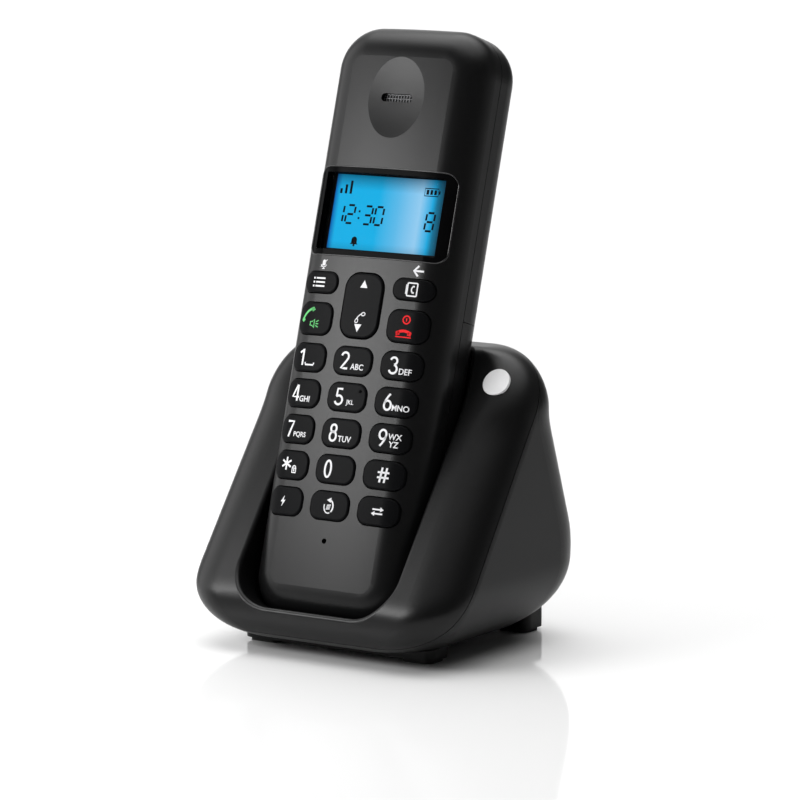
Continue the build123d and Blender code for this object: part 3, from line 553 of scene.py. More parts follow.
def print_on(name, mesh, place, node, material, body, height, finest=0.0005):
    """Lays a flat drawing on a node's curved surface, as a thin film of ink."""
    tree = surface_tree(node)
    film = bmesh.new()
    film.from_mesh(mesh)
    bmesh.ops.triangulate(film, faces=film.faces)
    for _ in range(HALVINGS):
        long_edges = [edge for edge in film.edges if edge.calc_length() > finest]
        bmesh.ops.subdivide_edges(film, edges=long_edges, cuts=1)
        bmesh.ops.triangulate(film, faces=film.faces)
    bmesh.ops.remove_doubles(film, verts=film.verts, dist=1e-7)
    for vertex in film.verts:
        start = place @ vertex.co + OUTWARD * SEARCH
        hit = tree.ray_cast(start, -OUTWARD, 3 * SEARCH)[0]
        if hit is None:
            raise RuntimeError(f"{name}: a point of the drawing lies beside its surface")
        vertex.co = hit + OUTWARD * height * 0.5
    film.to_mesh(mesh)
    film.free()
    piece = new_piece(name, mesh, material, body)
    wall = piece.modifiers.new("Ink", "SOLIDIFY")
    wall.thickness = height
    wall.offset = 1.0


# Signs, each a list of outlines in millimetres about its middle


def sign_receiver(span, bow, pen, pad):
    """A telephone receiver that lies with its pads down: a flat bow with a short thick pad at each end."""
    radius = (span ** 2 / 4 + bow ** 2) / (2 * bow)
    half = degrees(asin(span / 2 / radius))
    handle = stroke(arc(0, bow - radius, radius, 90 + half, 90 - half), pen)
    pads = []
    for side in (-1, 1):
        block = turned([bar(0, -0.3 * pad, pad, 0.8 * pad), disc(0, -0.1 * pad, 0.5 * pad)], -side * 12)
        pads += moved(block, side * span / 2, 0)
    return handle + pads


def sign_thin_receiver():
    """The outline of a receiver: a thin bow with a small ring at each end."""
    handle = stroke(arc(0, -2.6, 2.95, 112, 68), 0.28)
    rings = []
    for side in (-1, 1):
        ring = stroke(oval(0, 0, 1.3 * 0.42, 0.42), 0.24, True)
        rings += moved(turned(ring, -side * 28), side * 1.3, -0.2)
    return handle + rings


def sign_speaker():
    """A small loudspeaker in outline, with three lines of sound."""
    body = [(-1.45, -0.5), (-0.85, -0.5), (-0.15, -1.15), (-0.15, 1.15), (-0.85, 0.5), (-1.45, 0.5)]
    outlines = stroke(body, 0.27, True)
    for y in (-0.45, 0.0, 0.45):
        outlines += stroke([(0.35, y), (1.25, y * 2.0)], 0.24)
    return outlines


def sign_power():
    return stroke(oval(0, 0, 1.0, 1.0, RING), 0.36, True) + [bar(0, 0, 0.3, 0.85)]


def sign_book():
    """A book with a receiver on its cover."""
    cover = stroke(round_box(1.4, 1.7, 0.3, 5), 0.36, True)
    pages = stroke([(-1.75, -1.25), (-1.75, 1.25)], 0.24)
    receiver = stroke(arc(0.85, 0, 1.05, 128, 232, 10), 0.36)
    pads = [bar(0.32, side * 0.82, 0.55, 0.42) for side in (-1, 1)]
    return cover + pages + receiver + pads


def sign_back():
    """An arrow to the left with an open head."""
    return [bar(0.35, 0, 2.5, 0.5)] + stroke([(0.05, 1.35), (-1.25, 0.0), (0.05, -1.35)], 0.55)


def sign_mute():
    head = arc(0, 0.55, 0.5, 0, 180, 10) + arc(0, -0.05, 0.5, 180, 360, 10)
    cup = stroke(arc(0, 0, 0.9, 195, 345, 12), 0.2)
    stand = [bar(0, -1.1, 0.22, 0.45), bar(0, -1.35, 0.9, 0.2)]
    slash = stroke([(-0.95, -0.85), (0.95, 1.1)], 0.2)
    return [head] + cup + stand + slash


# Pen lines of the printed numbers, in a box one high, with their left edge at nothing
ROUND_BOWL = oval(0.29, 0.28, 0.23, 0.28)
PEN_NUMBERS = {
    "0": [oval(0.28, 0.5, 0.22, 0.5)],
    "1": [[(0.1, 0.76), (0.27, 0.87), (0.37, 0.99), (0.37, 0.5), (0.37, 0.0)]],
    "2": [arc(0.28, 0.74, 0.25, 170, -32, 14) + [(0.3, 0.33), (0.06, 0.02), (0.29, 0.02), (0.54, 0.02)]],
    "3": [arc(0.27, 0.76, 0.22, 165, -80, 14), arc(0.27, 0.27, 0.26, 82, -165, 16)],
    "4": [[(0.42, 0.0), (0.42, 0.5), (0.42, 0.98)], [(0.38, 0.98), (0.04, 0.25), (0.56, 0.25)]],
    "5": [[(0.5, 0.97), (0.14, 0.97), (0.11, 0.52)] + arc(0.28, 0.29, 0.27, 128, -160, 16)],
    "6": [ROUND_BOWL, [(0.07, 0.34), (0.14, 0.58), (0.26, 0.8), (0.4, 0.98)]],
    "7": [[(0.04, 0.95), (0.52, 0.95), (0.36, 0.5), (0.2, 0.0)]],
    "8": [ROUND_BOWL, oval(0.29, 0.76, 0.2, 0.23)],
    "9": [
        [(0.58 - x, 1.0 - y) for x, y in ROUND_BOWL],
        [(0.51, 0.66), (0.44, 0.42), (0.32, 0.2), (0.18, 0.02)],
    ],
}


# Middle of a number's box, and width of the pen, both as shares of the number's height
NUMBER_MIDDLE = (0.29, 0.5)
PEN = 0.13


def pen_number(number, height):
    """One printed number about its middle, in millimetres."""
    left, low = NUMBER_MIDDLE
    outlines = []
    for line in PEN_NUMBERS[number]:
        points = [((x - left) * height, (y - low) * height) for x, y in line]
        outlines += stroke(points, PEN * height, len(line) == OVAL)
    return outlines


def sign_up(way=1):
    return [[(-1.1, -0.95 * way), (1.1, -0.95 * way), (0, 1.1 * way)]]


def sign_list():
    """A short list: three lines with a point before each."""
    rows = (-1.05, 0, 1.05)
    return [bar(0.55, y, 3.0, 0.42) for y in rows] + [bar(-1.6, y, 0.5, 0.5) for y in rows]


def sign_flash():
    """A small bolt, for the key that breaks a call for a moment."""
    return [[(0.35, 1.5), (-0.75, -0.25), (-0.02, -0.25)], [(-0.35, -1.5), (0.75, 0.25), (0.02, 0.25)]]


def sign_exchange():
    """Two arrows that pass each other, for calls between handsets."""
    upper = [bar(-0.3, 0.55, 2.4, 0.4), [(0.75, 1.2), (1.75, 0.55), (0.75, -0.1)]]
    return upper + turned(upper, 180)


def sign_redial():
    """A list of lines inside a tall ring with an arrow at its top."""
    outlines = []
    for start, end, pen in ((-50, 78, 0.42), (165, 295, 0.3)):
        outlines += stroke([(x * 0.78, y) for x, y in arc(0, 0, 1.75, start, end)], pen)
    outlines.append([(0.55, 2.35), (0.5, 1.0), (-0.75, 1.65)])
    lines = [bar(0, y, 1.2, 0.28) for y in (-0.65, -0.15, 0.35)]
    return outlines + [[(x + 0.2 * y, y + 0.12 * x) for x, y in line] for line in lines]


def sign_space():
    """A shallow bracket that stands for a blank."""
    return stroke([(-1.45, 0.35), (-1.3, -0.25), (1.3, -0.25), (1.45, 0.35)], 0.42)


def sign_hash(half):
    """Two upright bars across two level ones."""
    level = [bar(0, side * half * 0.34, half * 1.7, 0.5) for side in (-1, 1)]
    upright = [bar(side * half * 0.34, 0, 0.55, half * 2) for side in (-1, 1)]
    return level + [[(x + y * 0.1, y) for x, y in shape] for shape in upright]


def sign_star(radius):
    """Three bars that cross."""
    arm = stroke([(0, -radius), (0, radius)], 0.5)
    return [outline for turn in (0, -60, 60) for outline in turned(arm, turn)]


def sign_lock():
    case = stroke([(-0.6, -1.05), (0.6, -1.05), (0.6, 0.1), (-0.6, 0.1)], 0.36, True)
    return case + [bar(0, -0.45, 0.34, 0.6)] + stroke(arc(0, 0.25, 0.5, 0, 180, 10), 0.3)


def sign_battery():
    case = stroke([(-2.1, -1), (2.1, -1), (2.1, 1), (-2.1, 1)], 0.26, True)
    return case + [bar(2.45, 0, 0.45, 0.9)] + [bar(x, 0, 0.75, 1.25) for x in (-1.2, 0, 1.2)]


def sign_signal():
    return [bar(-1.5 + i * 1.5, -2.1 + (1.3 + 1.1 * i) / 2, 0.72, 1.3 + 1.1 * i) for i in range(3)]


def sign_bell():
    dome = arc(0, 0.1, 0.85, 180, 0, 12)
    return [[*dome, (0.85, -0.7), (1.25, -1.1), (-1.25, -1.1), (-0.85, -0.7)], disc(0, -1.35, 0.3)]


SEGMENTS = {
    "0": "abcdef", "1": "bc", "2": "abged", "3": "abgcd", "4": "fgbc",
    "5": "afgcd", "6": "afgedc", "7": "abc", "8": "abcdefg", "9": "abcdfg",
}


def lit_digit(digit, height):
    """The dark bars of one digit of the display, leaning a little, about its middle."""
    half, width = height / 2, height * 0.26
    thick, gap = height * 0.12, height * 0.015
    flat = {"a": half, "g": 0.0, "d": -half}
    upright = {"f": (-1, 1), "b": (1, 1), "e": (-1, -1), "c": (1, -1)}
    lean = 0.06
    bars = []
    for name in SEGMENTS[digit]:
        if name in flat:
            shape = bar(0, flat[name], 2 * width - thick - 2 * gap, thick)
        else:
            side, way = upright[name]
            shape = bar(side * width, way * half / 2, thick, half - thick - 2 * gap)
        bars.append([(x + y * lean, y) for x, y in shape])
    return bars


# Geometry nodes


class Growth(Nodes):
    """A geometry tree with named inputs, which ends in real geometry that carries one material."""

    def __init__(self, name, **inputs):
        super().__init__(bpy.data.node_groups.new(name, "GeometryNodeTree"))
        sockets = self.tree.interface
        sockets.new_socket("Geometry", in_out="INPUT", socket_type="NodeSocketGeometry")
        for label, kind in inputs.items():
            sockets.new_socket(label, in_out="INPUT", socket_type="NodeSocket" + kind)
        sockets.new_socket("Geometry", in_out="OUTPUT", socket_type="NodeSocketGeometry")
        self.given = self.add("NodeGroupInput").outputs
        self.result = self.add("NodeGroupOutput").inputs[0]

    def close(self, last, material):
        realize = self.add("GeometryNodeRealizeInstances", Geometry=last)
        paint = self.add("GeometryNodeSetMaterial", Geometry=realize.outputs[0], Material=material)
        self.put(paint.outputs["Geometry"], self.result)

    def mesh(self, name, **values):
        """The plain mesh that the tree makes with these input values."""
        holder = new_object(name, bpy.data.meshes.new(name))
        modifier = holder.modifiers.new(name, "NODES")
        modifier.node_group = self.tree
        for item in self.tree.interface.items_tree:
            if item.item_type == "SOCKET" and item.in_out == "INPUT" and item.name in values:
                modifier[item.identifier] = values[item.name]
        return evaluated_mesh(holder)


def wire_net(material):
    """A square net of round wires on a flat field."""
    net = Growth("Ear mesh wires", Width="Float", Height="Float", Wire="Float", Columns="Int", Rows="Int")
    given = net.given
    grid = net.add(
        "GeometryNodeMeshGrid", Size_X=given["Width"], Size_Y=given["Height"],
        Vertices_X=given["Columns"], Vertices_Y=given["Rows"],
    )
    curves = net.add("GeometryNodeMeshToCurve", Mesh=grid.outputs["Mesh"])
    ring = net.add("GeometryNodeCurvePrimitiveCircle", Resolution=6, Radius=given["Wire"])
    sweep = net.add(
        "GeometryNodeCurveToMesh", Curve=curves.outputs["Curve"], Profile_Curve=ring.outputs["Curve"],
    )
    net.close(sweep.outputs["Mesh"], material)
    return net


def block_row(name, material):
    """A row of equal blocks, evenly spaced along X about its middle."""
    row = Growth(name, Count="Int", Pitch="Float", Block="Vector")
    count, pitch = row.given["Count"], row.given["Pitch"]
    start = row.maths("MULTIPLY", row.maths("MULTIPLY_ADD", count, -0.5, 0.5), pitch)
    line = row.add(
        "GeometryNodeMeshLine", Count=count,
        Start_Location=row.add("ShaderNodeCombineXYZ", X=start).outputs[0],
        Offset=row.add("ShaderNodeCombineXYZ", X=pitch).outputs[0],
    )
    block = row.add("GeometryNodeMeshCube", Size=row.given["Block"])
    repeat = row.add(
        "GeometryNodeInstanceOnPoints", Points=line.outputs["Mesh"], Instance=block.outputs["Mesh"],
    )
    row.close(repeat.outputs["Instances"], material)
    return row


# Operators


class TELEPHONE_OT_finish_shells(bpy.types.Operator):
    """Give the housings, plate, feet and badge their finishes"""

    bl_idname = "telephone.finish_shells"
    bl_label = "Finish Shells"

    def execute(self, context):
        look = settings().shell
        colour, gloss = look.shell_colour, look.shell_gloss
        dull, grain = look.shell_roughness, look.grain_size
        shell = moulded_plastic("charcoal_shell", colour, dull, grain, gloss)
        give(shell, "handset_front_shell", "handset_rear_shell", "battery_door")
        give(shell, "base_front_shell", "base_rear_shell")
        give(moulded_plastic("dull_underside", colour, dull + 0.15, grain * 2, gloss), "base_bottom_plate")
        give(soft_rubber("foot_rubber", (0.012, 0.012, 0.012)), "rubber_feet")
        badge = Shading("pale_badge")
        fine = badge.noise(0.0004, 3.0)
        badge.tint(fine, (0.74, 0.74, 0.745), (0.80, 0.80, 0.805))
        badge.dull(fine, 0.3, 0.42)
        give(badge.material, "badge_disc")
        return {"FINISHED"}


class TELEPHONE_OT_finish_keys(bpy.types.Operator):
    """Give the keys their finish"""

    bl_idname = "telephone.finish_keys"
    bl_label = "Finish Keys"

    def execute(self, context):
        look = settings().shell
        key = moulded_plastic(
            "key_plastic", look.key_colour, look.shell_roughness, look.grain_size, look.key_gloss
        )
        give(key, *KEY_NODES, "page_key")
        return {"FINISHED"}


GOLD = (0.86, 0.62, 0.28)


class TELEPHONE_OT_finish_works(bpy.types.Operator):
    """Give the inner pieces, contacts, screws and sockets their finishes"""

    bl_idname = "telephone.finish_works"
    bl_label = "Finish Works"

    def execute(self, context):
        give(circuit_board("green_board"), "handset_circuit_board", "base_circuit_board")
        give(soft_rubber("mat_rubber", (0.2, 0.2, 0.21)), "keymat")
        cone = moulded_plastic("speaker_black", (0.03, 0.03, 0.03), 0.6, 0.0006)
        give(cone, "earpiece_speaker", "ringer_speaker", "microphone")
        gold = bare_metal("gilt_contact", GOLD, 0.22)
        give(gold, "battery_clips", "handset_charge_pads", "charge_pin_left", "charge_pin_right")
        give(bare_metal("screw_steel", (0.42, 0.42, 0.43), 0.32), "handset_screws", "base_screws")
        socket = moulded_plastic("socket_black", (0.018, 0.018, 0.018), 0.5, 0.0004)
        give(socket, "line_socket", "power_socket", "contact_block", "page_switch")
        give(moulded_plastic("cell_wrap", (0.02, 0.12, 0.05), 0.3, 0.0008), "battery_cells")
        give(moulded_plastic("diffuser_white", (0.7, 0.75, 0.8), 0.4, 0.0008), "display_backlight")
        return {"FINISHED"}


class TELEPHONE_OT_light_display(bpy.types.Operator):
    """Light the display and draw its digits and signs behind the dark window"""

    bl_idname = "telephone.light_display"
    bl_label = "Light Display"

    # Colours of the lit display from its left edge to its right one
    BLUES = (
        (0.00, (0.0, 0.10, 0.40)), (0.05, (0.005, 0.44, 0.80)), (0.42, (0.005, 0.44, 0.80)),
        (0.60, (0.11, 0.50, 0.82)), (0.80, (0.31, 0.62, 0.88)), (0.86, (0.12, 0.51, 0.83)),
        (0.91, (0.01, 0.40, 0.74)), (0.95, (0.005, 0.15, 0.26)), (1.00, (0.003, 0.04, 0.06)),
    )
    # Half width and half height of the window's clear part
    CLEAR = (0.0185, 0.0103)
    # Signs and the lone digit of the display, with their places about its middle in millimetres
    SIGNS = ((sign_signal(), -13.6, 6.9), (sign_battery(), 13.0, 6.6), (sign_bell(), -8.6, -7.4))
    LONE, LONE_PLACE = "8", (13.8, -1.2)
    # The time of day: place of its first digit, and the digits and the two points counted on from there
    TIME_START, TIME_LEVEL = -14.6, -0.6
    TIME = ((0, "1"), (1, "2"), (2.6, "3"), (3.6, "0"))
    POINTS, POINTS_AFTER = [bar(0, 0.9, 0.55, 0.55), bar(0, -0.9, 0.55, 0.55)], 1.8
    # Distance from digit to digit as a share of their height
    PITCH = 0.72
    FIGURE_HEIGHT = 0.00002
    FIGURE_FINENESS = 0.002
    # Section of the lip round the window: distance out of its edge and height over the surface
    LIP = ((-0.08, -0.04), (-0.06, 0.07), (0.0, 0.15), (0.1, 0.19), (0.2, 0.13), (0.3, -0.04))
    LIP_CORNER, LIP_STEPS = 3.0, 8

    def execute(self, context):
        look = settings().display
        give(self.lit_glass(look), "display_glass")
        give(self.dark_window(), "display_window")
        self.draw(look)
        self.lip()
        return {"FINISHED"}

    def lit_glass(self, look):
        """Blue light, paler right of the middle, inside a black border."""
        shading = Shading("lit_display")
        across, along = self.axes(shading, on_handset(0, look.active_middle / MM, 0))
        half_width, half_height = look.active_width / 2, look.active_height / 2
        inside = self.inside(shading, across, along, half_width, half_height)
        blues = shading.add(
            "ShaderNodeValToRGB", Fac=shading.ramp(across, 0.0, 1.0, -half_width, half_width),
        )
        stops = blues.color_ramp.elements
        while len(stops) < len(self.BLUES):
            stops.new(1.0)
        for stop, (place, colour) in zip(stops, self.BLUES):
            stop.position = place
            stop.color = (*colour, 1)
        top = shading.ramp(along, 1.0, 0.3, half_height * 0.6, half_height)
        foot = shading.ramp(along, 0.75, 1.0, -half_height, -half_height * 0.8)
        level = shading.maths("MULTIPLY", shading.maths("MULTIPLY", top, foot), inside)
        power = shading.maths("MULTIPLY", level, look.glow)
        shading.set(Emission_Color=blues.outputs["Color"], Emission_Strength=power)
        shading.tint(inside, (0.002, 0.002, 0.0025), (0.0, 0.02, 0.05))
        shading.set(Roughness=0.35, Specular_IOR_Level=0.02)
        return shading.material

    def dark_window(self):
        """Glossy black with a clear view over the display."""
        shading = Shading("dark_window")
        u, v, _ = middle_of("display_window")
        inside = self.inside(shading, *self.axes(shading, on_handset(u, v, 0)), *self.CLEAR)
        shading.set(Alpha=shading.ramp(inside, 1.0, 0.04, 0.0, 1.0))
        shading.tint(shading.noise(0.004), (0.002, 0.002, 0.0022), (0.003, 0.003, 0.0033))
        shading.set(Roughness=0.06, IOR=1.5, Specular_IOR_Level=0.012)
        return shading.material

    def axes(self, shading, origin):
        """The distance of a point from an origin across the handset and along it."""
        offset = shading.add("ShaderNodeVectorMath", operation="SUBTRACT", Vector=shading.coordinates())
        offset.inputs[1].default_value = origin
        return [shading.reach(offset.outputs["Vector"], axis) for axis in (ACROSS, LENGTHWISE)]

    def inside(self, shading, across, along, half_width, half_height):
        """One inside a rectangle and nothing outside it."""
        tests = []
        for value, limit in ((across, half_width), (along, half_height)):
            tests.append(shading.maths("LESS_THAN", shading.maths("ABSOLUTE", value), limit))
        return shading.maths("MULTIPLY", *tests)

    def draw(self, look):
        """The display's dark digits and signs, as a film on the glass."""
        height = look.digit_height / MM
        time = [(self.POINTS, self.POINTS_AFTER)]
        time += [(lit_digit(digit, height), after) for after, digit in self.TIME]
        figures = [*self.SIGNS, (lit_digit(self.LONE, height), *self.LONE_PLACE)]
        for figure, after in time:
            figures.append((figure, self.TIME_START + after * height * self.PITCH, self.TIME_LEVEL))
        outlines = [outline for figure in figures for outline in moved(*figure)]
        ink = printed_ink("display_ink", (0.001, 0.002, 0.004))
        mesh = flat_mesh("display_figures", outlines)
        place = handset_matrix(0, look.active_middle / MM, 0)
        print_on(
            "display_figures", mesh, place, "display_glass", ink, "handset",
            self.FIGURE_HEIGHT, self.FIGURE_FINENESS,
        )

    def lip(self):
        """A fine round lip that frames the window, laid over the gap between it and the face."""
        v = middle_of("display_window")[1]
        reach = [vertex.co for vertex in NODES["display_window"].data.vertices]
        along = [point.dot(LENGTHWISE) / MM for point in reach]
        half_width = max(abs(point.x) for point in reach) / MM
        half_height = (max(along) - min(along)) / 2
        tree = surface_tree("display_window", "handset_front_shell")
        first, last = self.LIP[0][0], self.LIP[-1][0]
        edges = []
        for out in (first, last):
            box = round_box(half_width + out, half_height + out, self.LIP_CORNER + out, self.LIP_STEPS)
            starts = [on_handset(x, v + y, SEARCH / MM) for x, y in close_points(box)]
            edges.append([tree.ray_cast(start, -OUTWARD)[:2] for start in starts])
        sheet = bmesh.new()
        rings = []
        for out, rise in self.LIP:
            share = (out - first) / (last - first)
            ring = []
            for (inner, facing_in), (outer, facing_out) in zip(*edges):
                up = facing_in.lerp(facing_out, share).normalized()
                ring.append(sheet.verts.new(inner.lerp(outer, share) + up * rise * MM))
            rings.append(ring)
        for ring, beside in zip(rings, rings[1:] + rings[:1]):
            for i in range(len(ring)):
                j = (i + 1) % len(ring)
                sheet.faces.new((ring[i], ring[j], beside[j], beside[i]))
        bmesh.ops.recalc_face_normals(sheet, faces=sheet.faces)
        mesh = bpy.data.meshes.new("window_lip")
        sheet.to_mesh(mesh)
        sheet.free()
        mesh.shade_smooth()
        polished = moulded_plastic("polished_lip", (0.004, 0.004, 0.0045), 0.22, 0.0004, 0.6)
        new_piece("window_lip", mesh, polished, "handset")


class TELEPHONE_OT_print_keys(bpy.types.Operator):
    """Print the numbers, letters and signs on the keys and the face"""

    bl_idname = "telephone.print_keys"
    bl_label = "Print Keys"

    # Words on the keys, each with its place across the face and over the key's middle, in millimetres
    WORDS = (
        ("key_2", "ABC", 1.75, -1.45), ("key_3", "DEF", 16.1, -1.45), ("key_4", "GHI", -13.3, -1.45),
        ("key_5", "JKL", 1.35, -1.45), ("key_6", "MNO", 16.35, -1.45), ("key_7", "PQRS", -13.0, -1.45),
        ("key_8", "TUV", 1.5, -1.45), ("key_9", "WX", 16.2, 0.55), ("key_9", "YZ", 16.1, -1.45),
    )
    # Width of the letters as a share of the typeface's own
    NARROW = 0.95
    # Numbers on the keys, each with its place across the face
    NUMBERS = (
        ("1", -16.3), ("2", -2.2), ("3", 12.6), ("4", -16.4), ("5", -2.2), ("6", 12.6),
        ("7", -16.4), ("8", -2.2), ("9", 12.7), ("0", -2.0),
    )
    # Signs on the keys, each with its place across the face and over the key's middle
    SIGNS = (
        ("key_1", "space", sign_space(), -13.6, -1.7),
        ("key_hash", "hash", sign_hash(1.95), 14.6, 0),
        ("key_star", "star", sign_star(1.7), -15.7, 0.3),
        ("key_star", "lock", sign_lock(), -13.0, -0.9),
        ("key_recall", "flash", sign_flash(), -14.9, 0),
        ("key_redial", "redial", sign_redial(), 0, -0.2),
        ("key_intercom", "exchange", sign_exchange(), 14.6, 0),
        ("key_menu", "list", sign_list(), -14.8, 0),
        ("key_phonebook", "book", sign_book(), 14.4, 0),
        ("key_talk", "receiver", turned(sign_receiver(4.3, 0.5, 0.6, 0.95), 44), -16.7, 1.1),
        ("key_talk", "speaker", sign_speaker(), -14.0, -1.4),
        ("key_end", "power", sign_power(), 14.2, 1.7),
        ("key_end", "receiver", sign_receiver(3.5, 0.45, 0.72, 1.05), 13.9, -1.7),
        ("key_end", "line", [bar(0, 0, 4.5, 0.3)], 13.9, -2.85),
        ("nav_rocker", "up", sign_up(), 0, 5.6),
        ("nav_rocker", "down", sign_up(-1), 0, -5.9),
        ("nav_rocker", "receiver", turned(sign_thin_receiver(), 46), 0.1, -3.0),
    )
    # Signs on the face, each with its place across it, and their height over the menu key's middle
    FACE_SIGNS = (("mute", sign_mute(), -14.4), ("back", sign_back(), 15.0))
    FACE_SIGNS_UP = 5.0

    def execute(self, context):
        look = settings().ink
        self.height = look.ink_height
        white = printed_ink("white_ink", look.ink)
        green = printed_ink("green_ink", look.talk_ink)
        red = printed_ink("red_ink", look.end_ink)
        inks = {"key_talk": green, "key_end": red}
        for node, text, u, up in self.WORDS:
            mesh = line_of_type(text, look.letter_height, self.NARROW, look.weight)
            self.lay(f"{node}_{text.lower()}", mesh, u, middle_of(node)[1] + up, node, white)
        for number, u in self.NUMBERS:
            node = "key_" + number
            mesh = flat_mesh("number", pen_number(number, look.number_height / MM))
            self.lay(node + "_number", mesh, u, middle_of(node)[1], node, white)
        for node, label, outlines, u, up in self.SIGNS:
            mesh = flat_mesh(label, outlines)
            self.lay(f"{node}_{label}", mesh, u, middle_of(node)[1] + up, node, inks.get(node, white))
        v = middle_of("key_menu")[1] + self.FACE_SIGNS_UP
        for label, outlines, u in self.FACE_SIGNS:
            mesh = flat_mesh(label, outlines)
            self.lay("face_" + label, mesh, u, v, "handset_front_shell", white)
        return {"FINISHED"}

    def lay(self, name, mesh, u, v, node, ink):
        """Prints on a node, whose own body the print rides on if it is a key."""
        body = node if node in KEY_NODES else "handset"
        print_on(name, mesh, handset_matrix(u, v, 0), node, ink, body, self.height)


class TELEPHONE_OT_weave_ear_mesh(bpy.types.Operator):
    """Weave the fine wire mesh behind the ear slot"""

    bl_idname = "telephone.weave_ear_mesh"
    bl_label = "Weave Ear Mesh"

    def execute(self, context):
        look = settings().repeat
        low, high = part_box("earpiece_mesh")
        width = high.x - low.x
        height = (high.z - low.z) / LENGTHWISE.z
        wire = bare_metal("dark_wire", (0.16, 0.16, 0.165), 0.4)
        mesh = wire_net(wire).mesh(
            "ear_mesh_wires", Wire=look.mesh_wire,
            Width=width - 2 * look.mesh_wire, Height=height - 2 * look.mesh_wire,
            Columns=round(width / look.mesh_pitch), Rows=round(height / look.mesh_pitch),
        )
        mesh.transform(handset_matrix(*middle_of("earpiece_mesh")))
        piece = new_piece("ear_mesh_wires", mesh, wire, "handset")
        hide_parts("earpiece_mesh")
        return {"FINISHED"}


class TELEPHONE_OT_wire_sockets(bpy.types.Operator):
    """Put the sprung contact wires into the two sockets at the back"""

    bl_idname = "telephone.wire_sockets"
    bl_label = "Wire Sockets"

    # The wires: thickness, length and height, distance under the socket's top, and slope in degrees
    WIRE = (0.0004, 0.009, 0.0003)
    UNDER_TOP = 0.0034
    SLOPE = 11.0

    def execute(self, context):
        look = settings().repeat
        gold = bare_metal("gilt_wire", GOLD, 0.22)
        row = block_row("Contact wires", gold)
        counts = {"line_socket": look.wire_count, "power_socket": max(1, look.wire_count // 2)}
        for node, count in counts.items():
            mesh = row.mesh(node + "_wires", Count=count, Pitch=look.wire_pitch, Block=self.WIRE)
            low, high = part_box(node)
            x, y, _ = (low + high) / 2
            place = Matrix.Translation((x, y, high.z - self.UNDER_TOP))
            mesh.transform(place @ Matrix.Rotation(radians(-self.SLOPE), 4, "X"))
            piece = new_piece(node + "_wires", mesh, gold, "base")
        return {"FINISHED"}


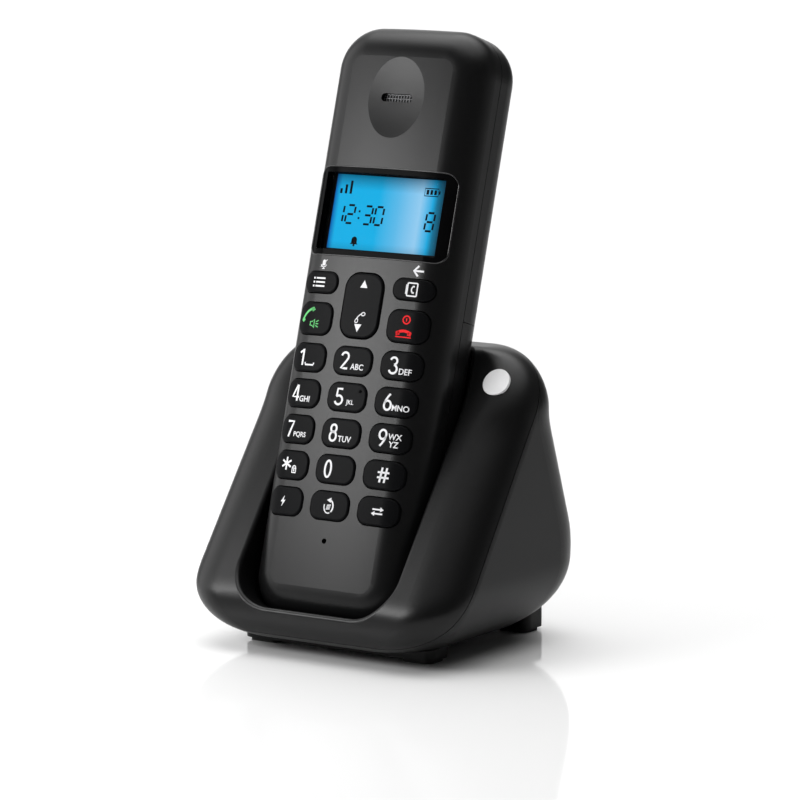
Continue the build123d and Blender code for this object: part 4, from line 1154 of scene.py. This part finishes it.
class TELEPHONE_OT_dress_stage(bpy.types.Operator):
    """Make the floor, the light and the camera"""

    bl_idname = "telephone.dress_stage"
    bl_label = "Dress Stage"

    # Lit patches of the room: turn to the right of the front, height, half angles of the full and the
    # fading part in degrees, brightness
    PATCHES = (
        (-80, 14, 10, 34, 1.6),
        (-40, 12, 10, 40, 0.5),
        (180, 80, 22, 46, 2.3),
        (-120, 60, 10, 42, 1.0),
        (122, 12, 6, 20, 0.14),
        (-146, 6, 12, 30, 1.0),
    )
    ROOM = 0.08
    # Where the overhead light comes from and how wide it is in degrees, and what the softbox is aimed at
    OVERHEAD_PLACE = (-0.25, 0.3, 1.0)
    OVERHEAD_ANGLE = 60
    SOFTBOX_TARGET = (0, -0.02, 0.09)
    # Width of the floor in millimetres and its two greys
    FLOOR_SIZE = 40000.0
    FLOOR_COLOURS = ((0.72, 0.72, 0.72), (0.74, 0.74, 0.74))

    def execute(self, context):
        look = settings().stage
        self.floor()
        self.room()
        self.lamps(look)
        self.camera(look)
        return {"FINISHED"}

    def floor(self):
        mesh = flat_mesh("floor", [bar(0, 0, self.FLOOR_SIZE, self.FLOOR_SIZE)])
        shading = Shading("pale_floor")
        shading.tint(shading.noise(0.3), *self.FLOOR_COLOURS)
        shading.set(Roughness=0.07, IOR=1.45, Specular_IOR_Level=0.24)
        mesh.materials.append(shading.material)
        floor = new_object("floor", mesh)

    def room(self):
        """A dim room with soft lit patches."""
        world = bpy.data.worlds.new("studio")
        bpy.context.scene.world = world
        world.use_nodes = True
        nodes = Nodes(world.node_tree)
        way = nodes.add("ShaderNodeTexCoord").outputs["Generated"]
        total = self.ROOM
        for turn, height, inner, outer, level in self.PATCHES:
            facing = nodes.reach(way, self.direction(radians(turn), radians(height)))
            faded, full = cos(radians(outer)), cos(radians(inner))
            patch = nodes.ramp(facing, 0.0, level, faded, full, "SMOOTHSTEP")
            total = nodes.maths("ADD", patch, total)
        nodes.put(total, world.node_tree.nodes["Background"].inputs["Color"])

    def lamps(self, look):
        """A wide lamp overhead and a softbox at the left of the front."""
        overhead = bpy.data.lights.new("overhead", "SUN")
        overhead.angle = radians(self.OVERHEAD_ANGLE)
        overhead.energy = look.overhead
        self.hang(overhead, Vector(self.OVERHEAD_PLACE), Vector((0, 0, 0)))
        box = bpy.data.lights.new("softbox", "AREA")
        box.shape = "RECTANGLE"
        box.size, box.size_y = look.softbox_size
        box.energy = look.softbox * pi * box.size * box.size_y
        self.hang(box, Vector(look.softbox_place), Vector(self.SOFTBOX_TARGET))

    def hang(self, lamp, place, target):
        """Puts a lamp at a place, facing a target, out of the camera's sight."""
        self.aim(lamp, place, target - place).visible_camera = False

    def aim(self, data, place, way):
        """Puts a lamp or a camera at a place, looking one way."""
        holder = new_object(data.name, data)
        holder.location = place
        holder.rotation_mode = "QUATERNION"
        holder.rotation_quaternion = way.to_track_quat("-Z", "Y")
        return holder

    def direction(self, turn, height):
        """The way to a point that lies to the right of the front and over the level by two angles."""
        level = cos(height)
        return Vector((sin(turn) * level, -cos(turn) * level, sin(height)))

    def camera(self, look):
        lens = bpy.data.cameras.new("camera")
        lens.sensor_width = 36.0
        lens.lens = look.lens
        lens.clip_start, lens.clip_end = 0.01, 100.0
        camera = self.aim(lens, look.camera_place, -self.direction(look.azimuth, look.elevation))
        bpy.context.scene.camera = camera
        bpy.context.scene.view_settings.view_transform = "Standard"


OPERATORS = (
    TELEPHONE_OT_finish_shells,
    TELEPHONE_OT_finish_keys,
    TELEPHONE_OT_finish_works,
    TELEPHONE_OT_light_display,
    TELEPHONE_OT_print_keys,
    TELEPHONE_OT_weave_ear_mesh,
    TELEPHONE_OT_wire_sockets,
    TELEPHONE_OT_dress_stage,
)


class TELEPHONE_PT_looks(bpy.types.Panel):
    """Lists the telephone's operators"""

    bl_label = "Telephone"
    bl_idname = "TELEPHONE_PT_looks"
    bl_space_type = "VIEW_3D"
    bl_region_type = "UI"
    bl_category = "Telephone"

    def draw(self, context):
        for operator in OPERATORS:
            self.layout.operator(operator.bl_idname)


CLASSES = (
    ShellSettings, PrintSettings, DisplaySettings, RepeatSettings, StageSettings, LookSettings,
    *OPERATORS, TELEPHONE_PT_looks,
)


def register():
    for cls in CLASSES:
        bpy.utils.register_class(cls)
    bpy.types.Scene.telephone_looks = PointerProperty(type=LookSettings)


def unregister():
    del bpy.types.Scene.telephone_looks
    for cls in reversed(CLASSES):
        bpy.utils.unregister_class(cls)


def main():
    register()
    for operator in OPERATORS:
        group, name = operator.bl_idname.split(".")
        getattr(getattr(bpy.ops, group), name)()


if __name__ == "__main__":
    main()
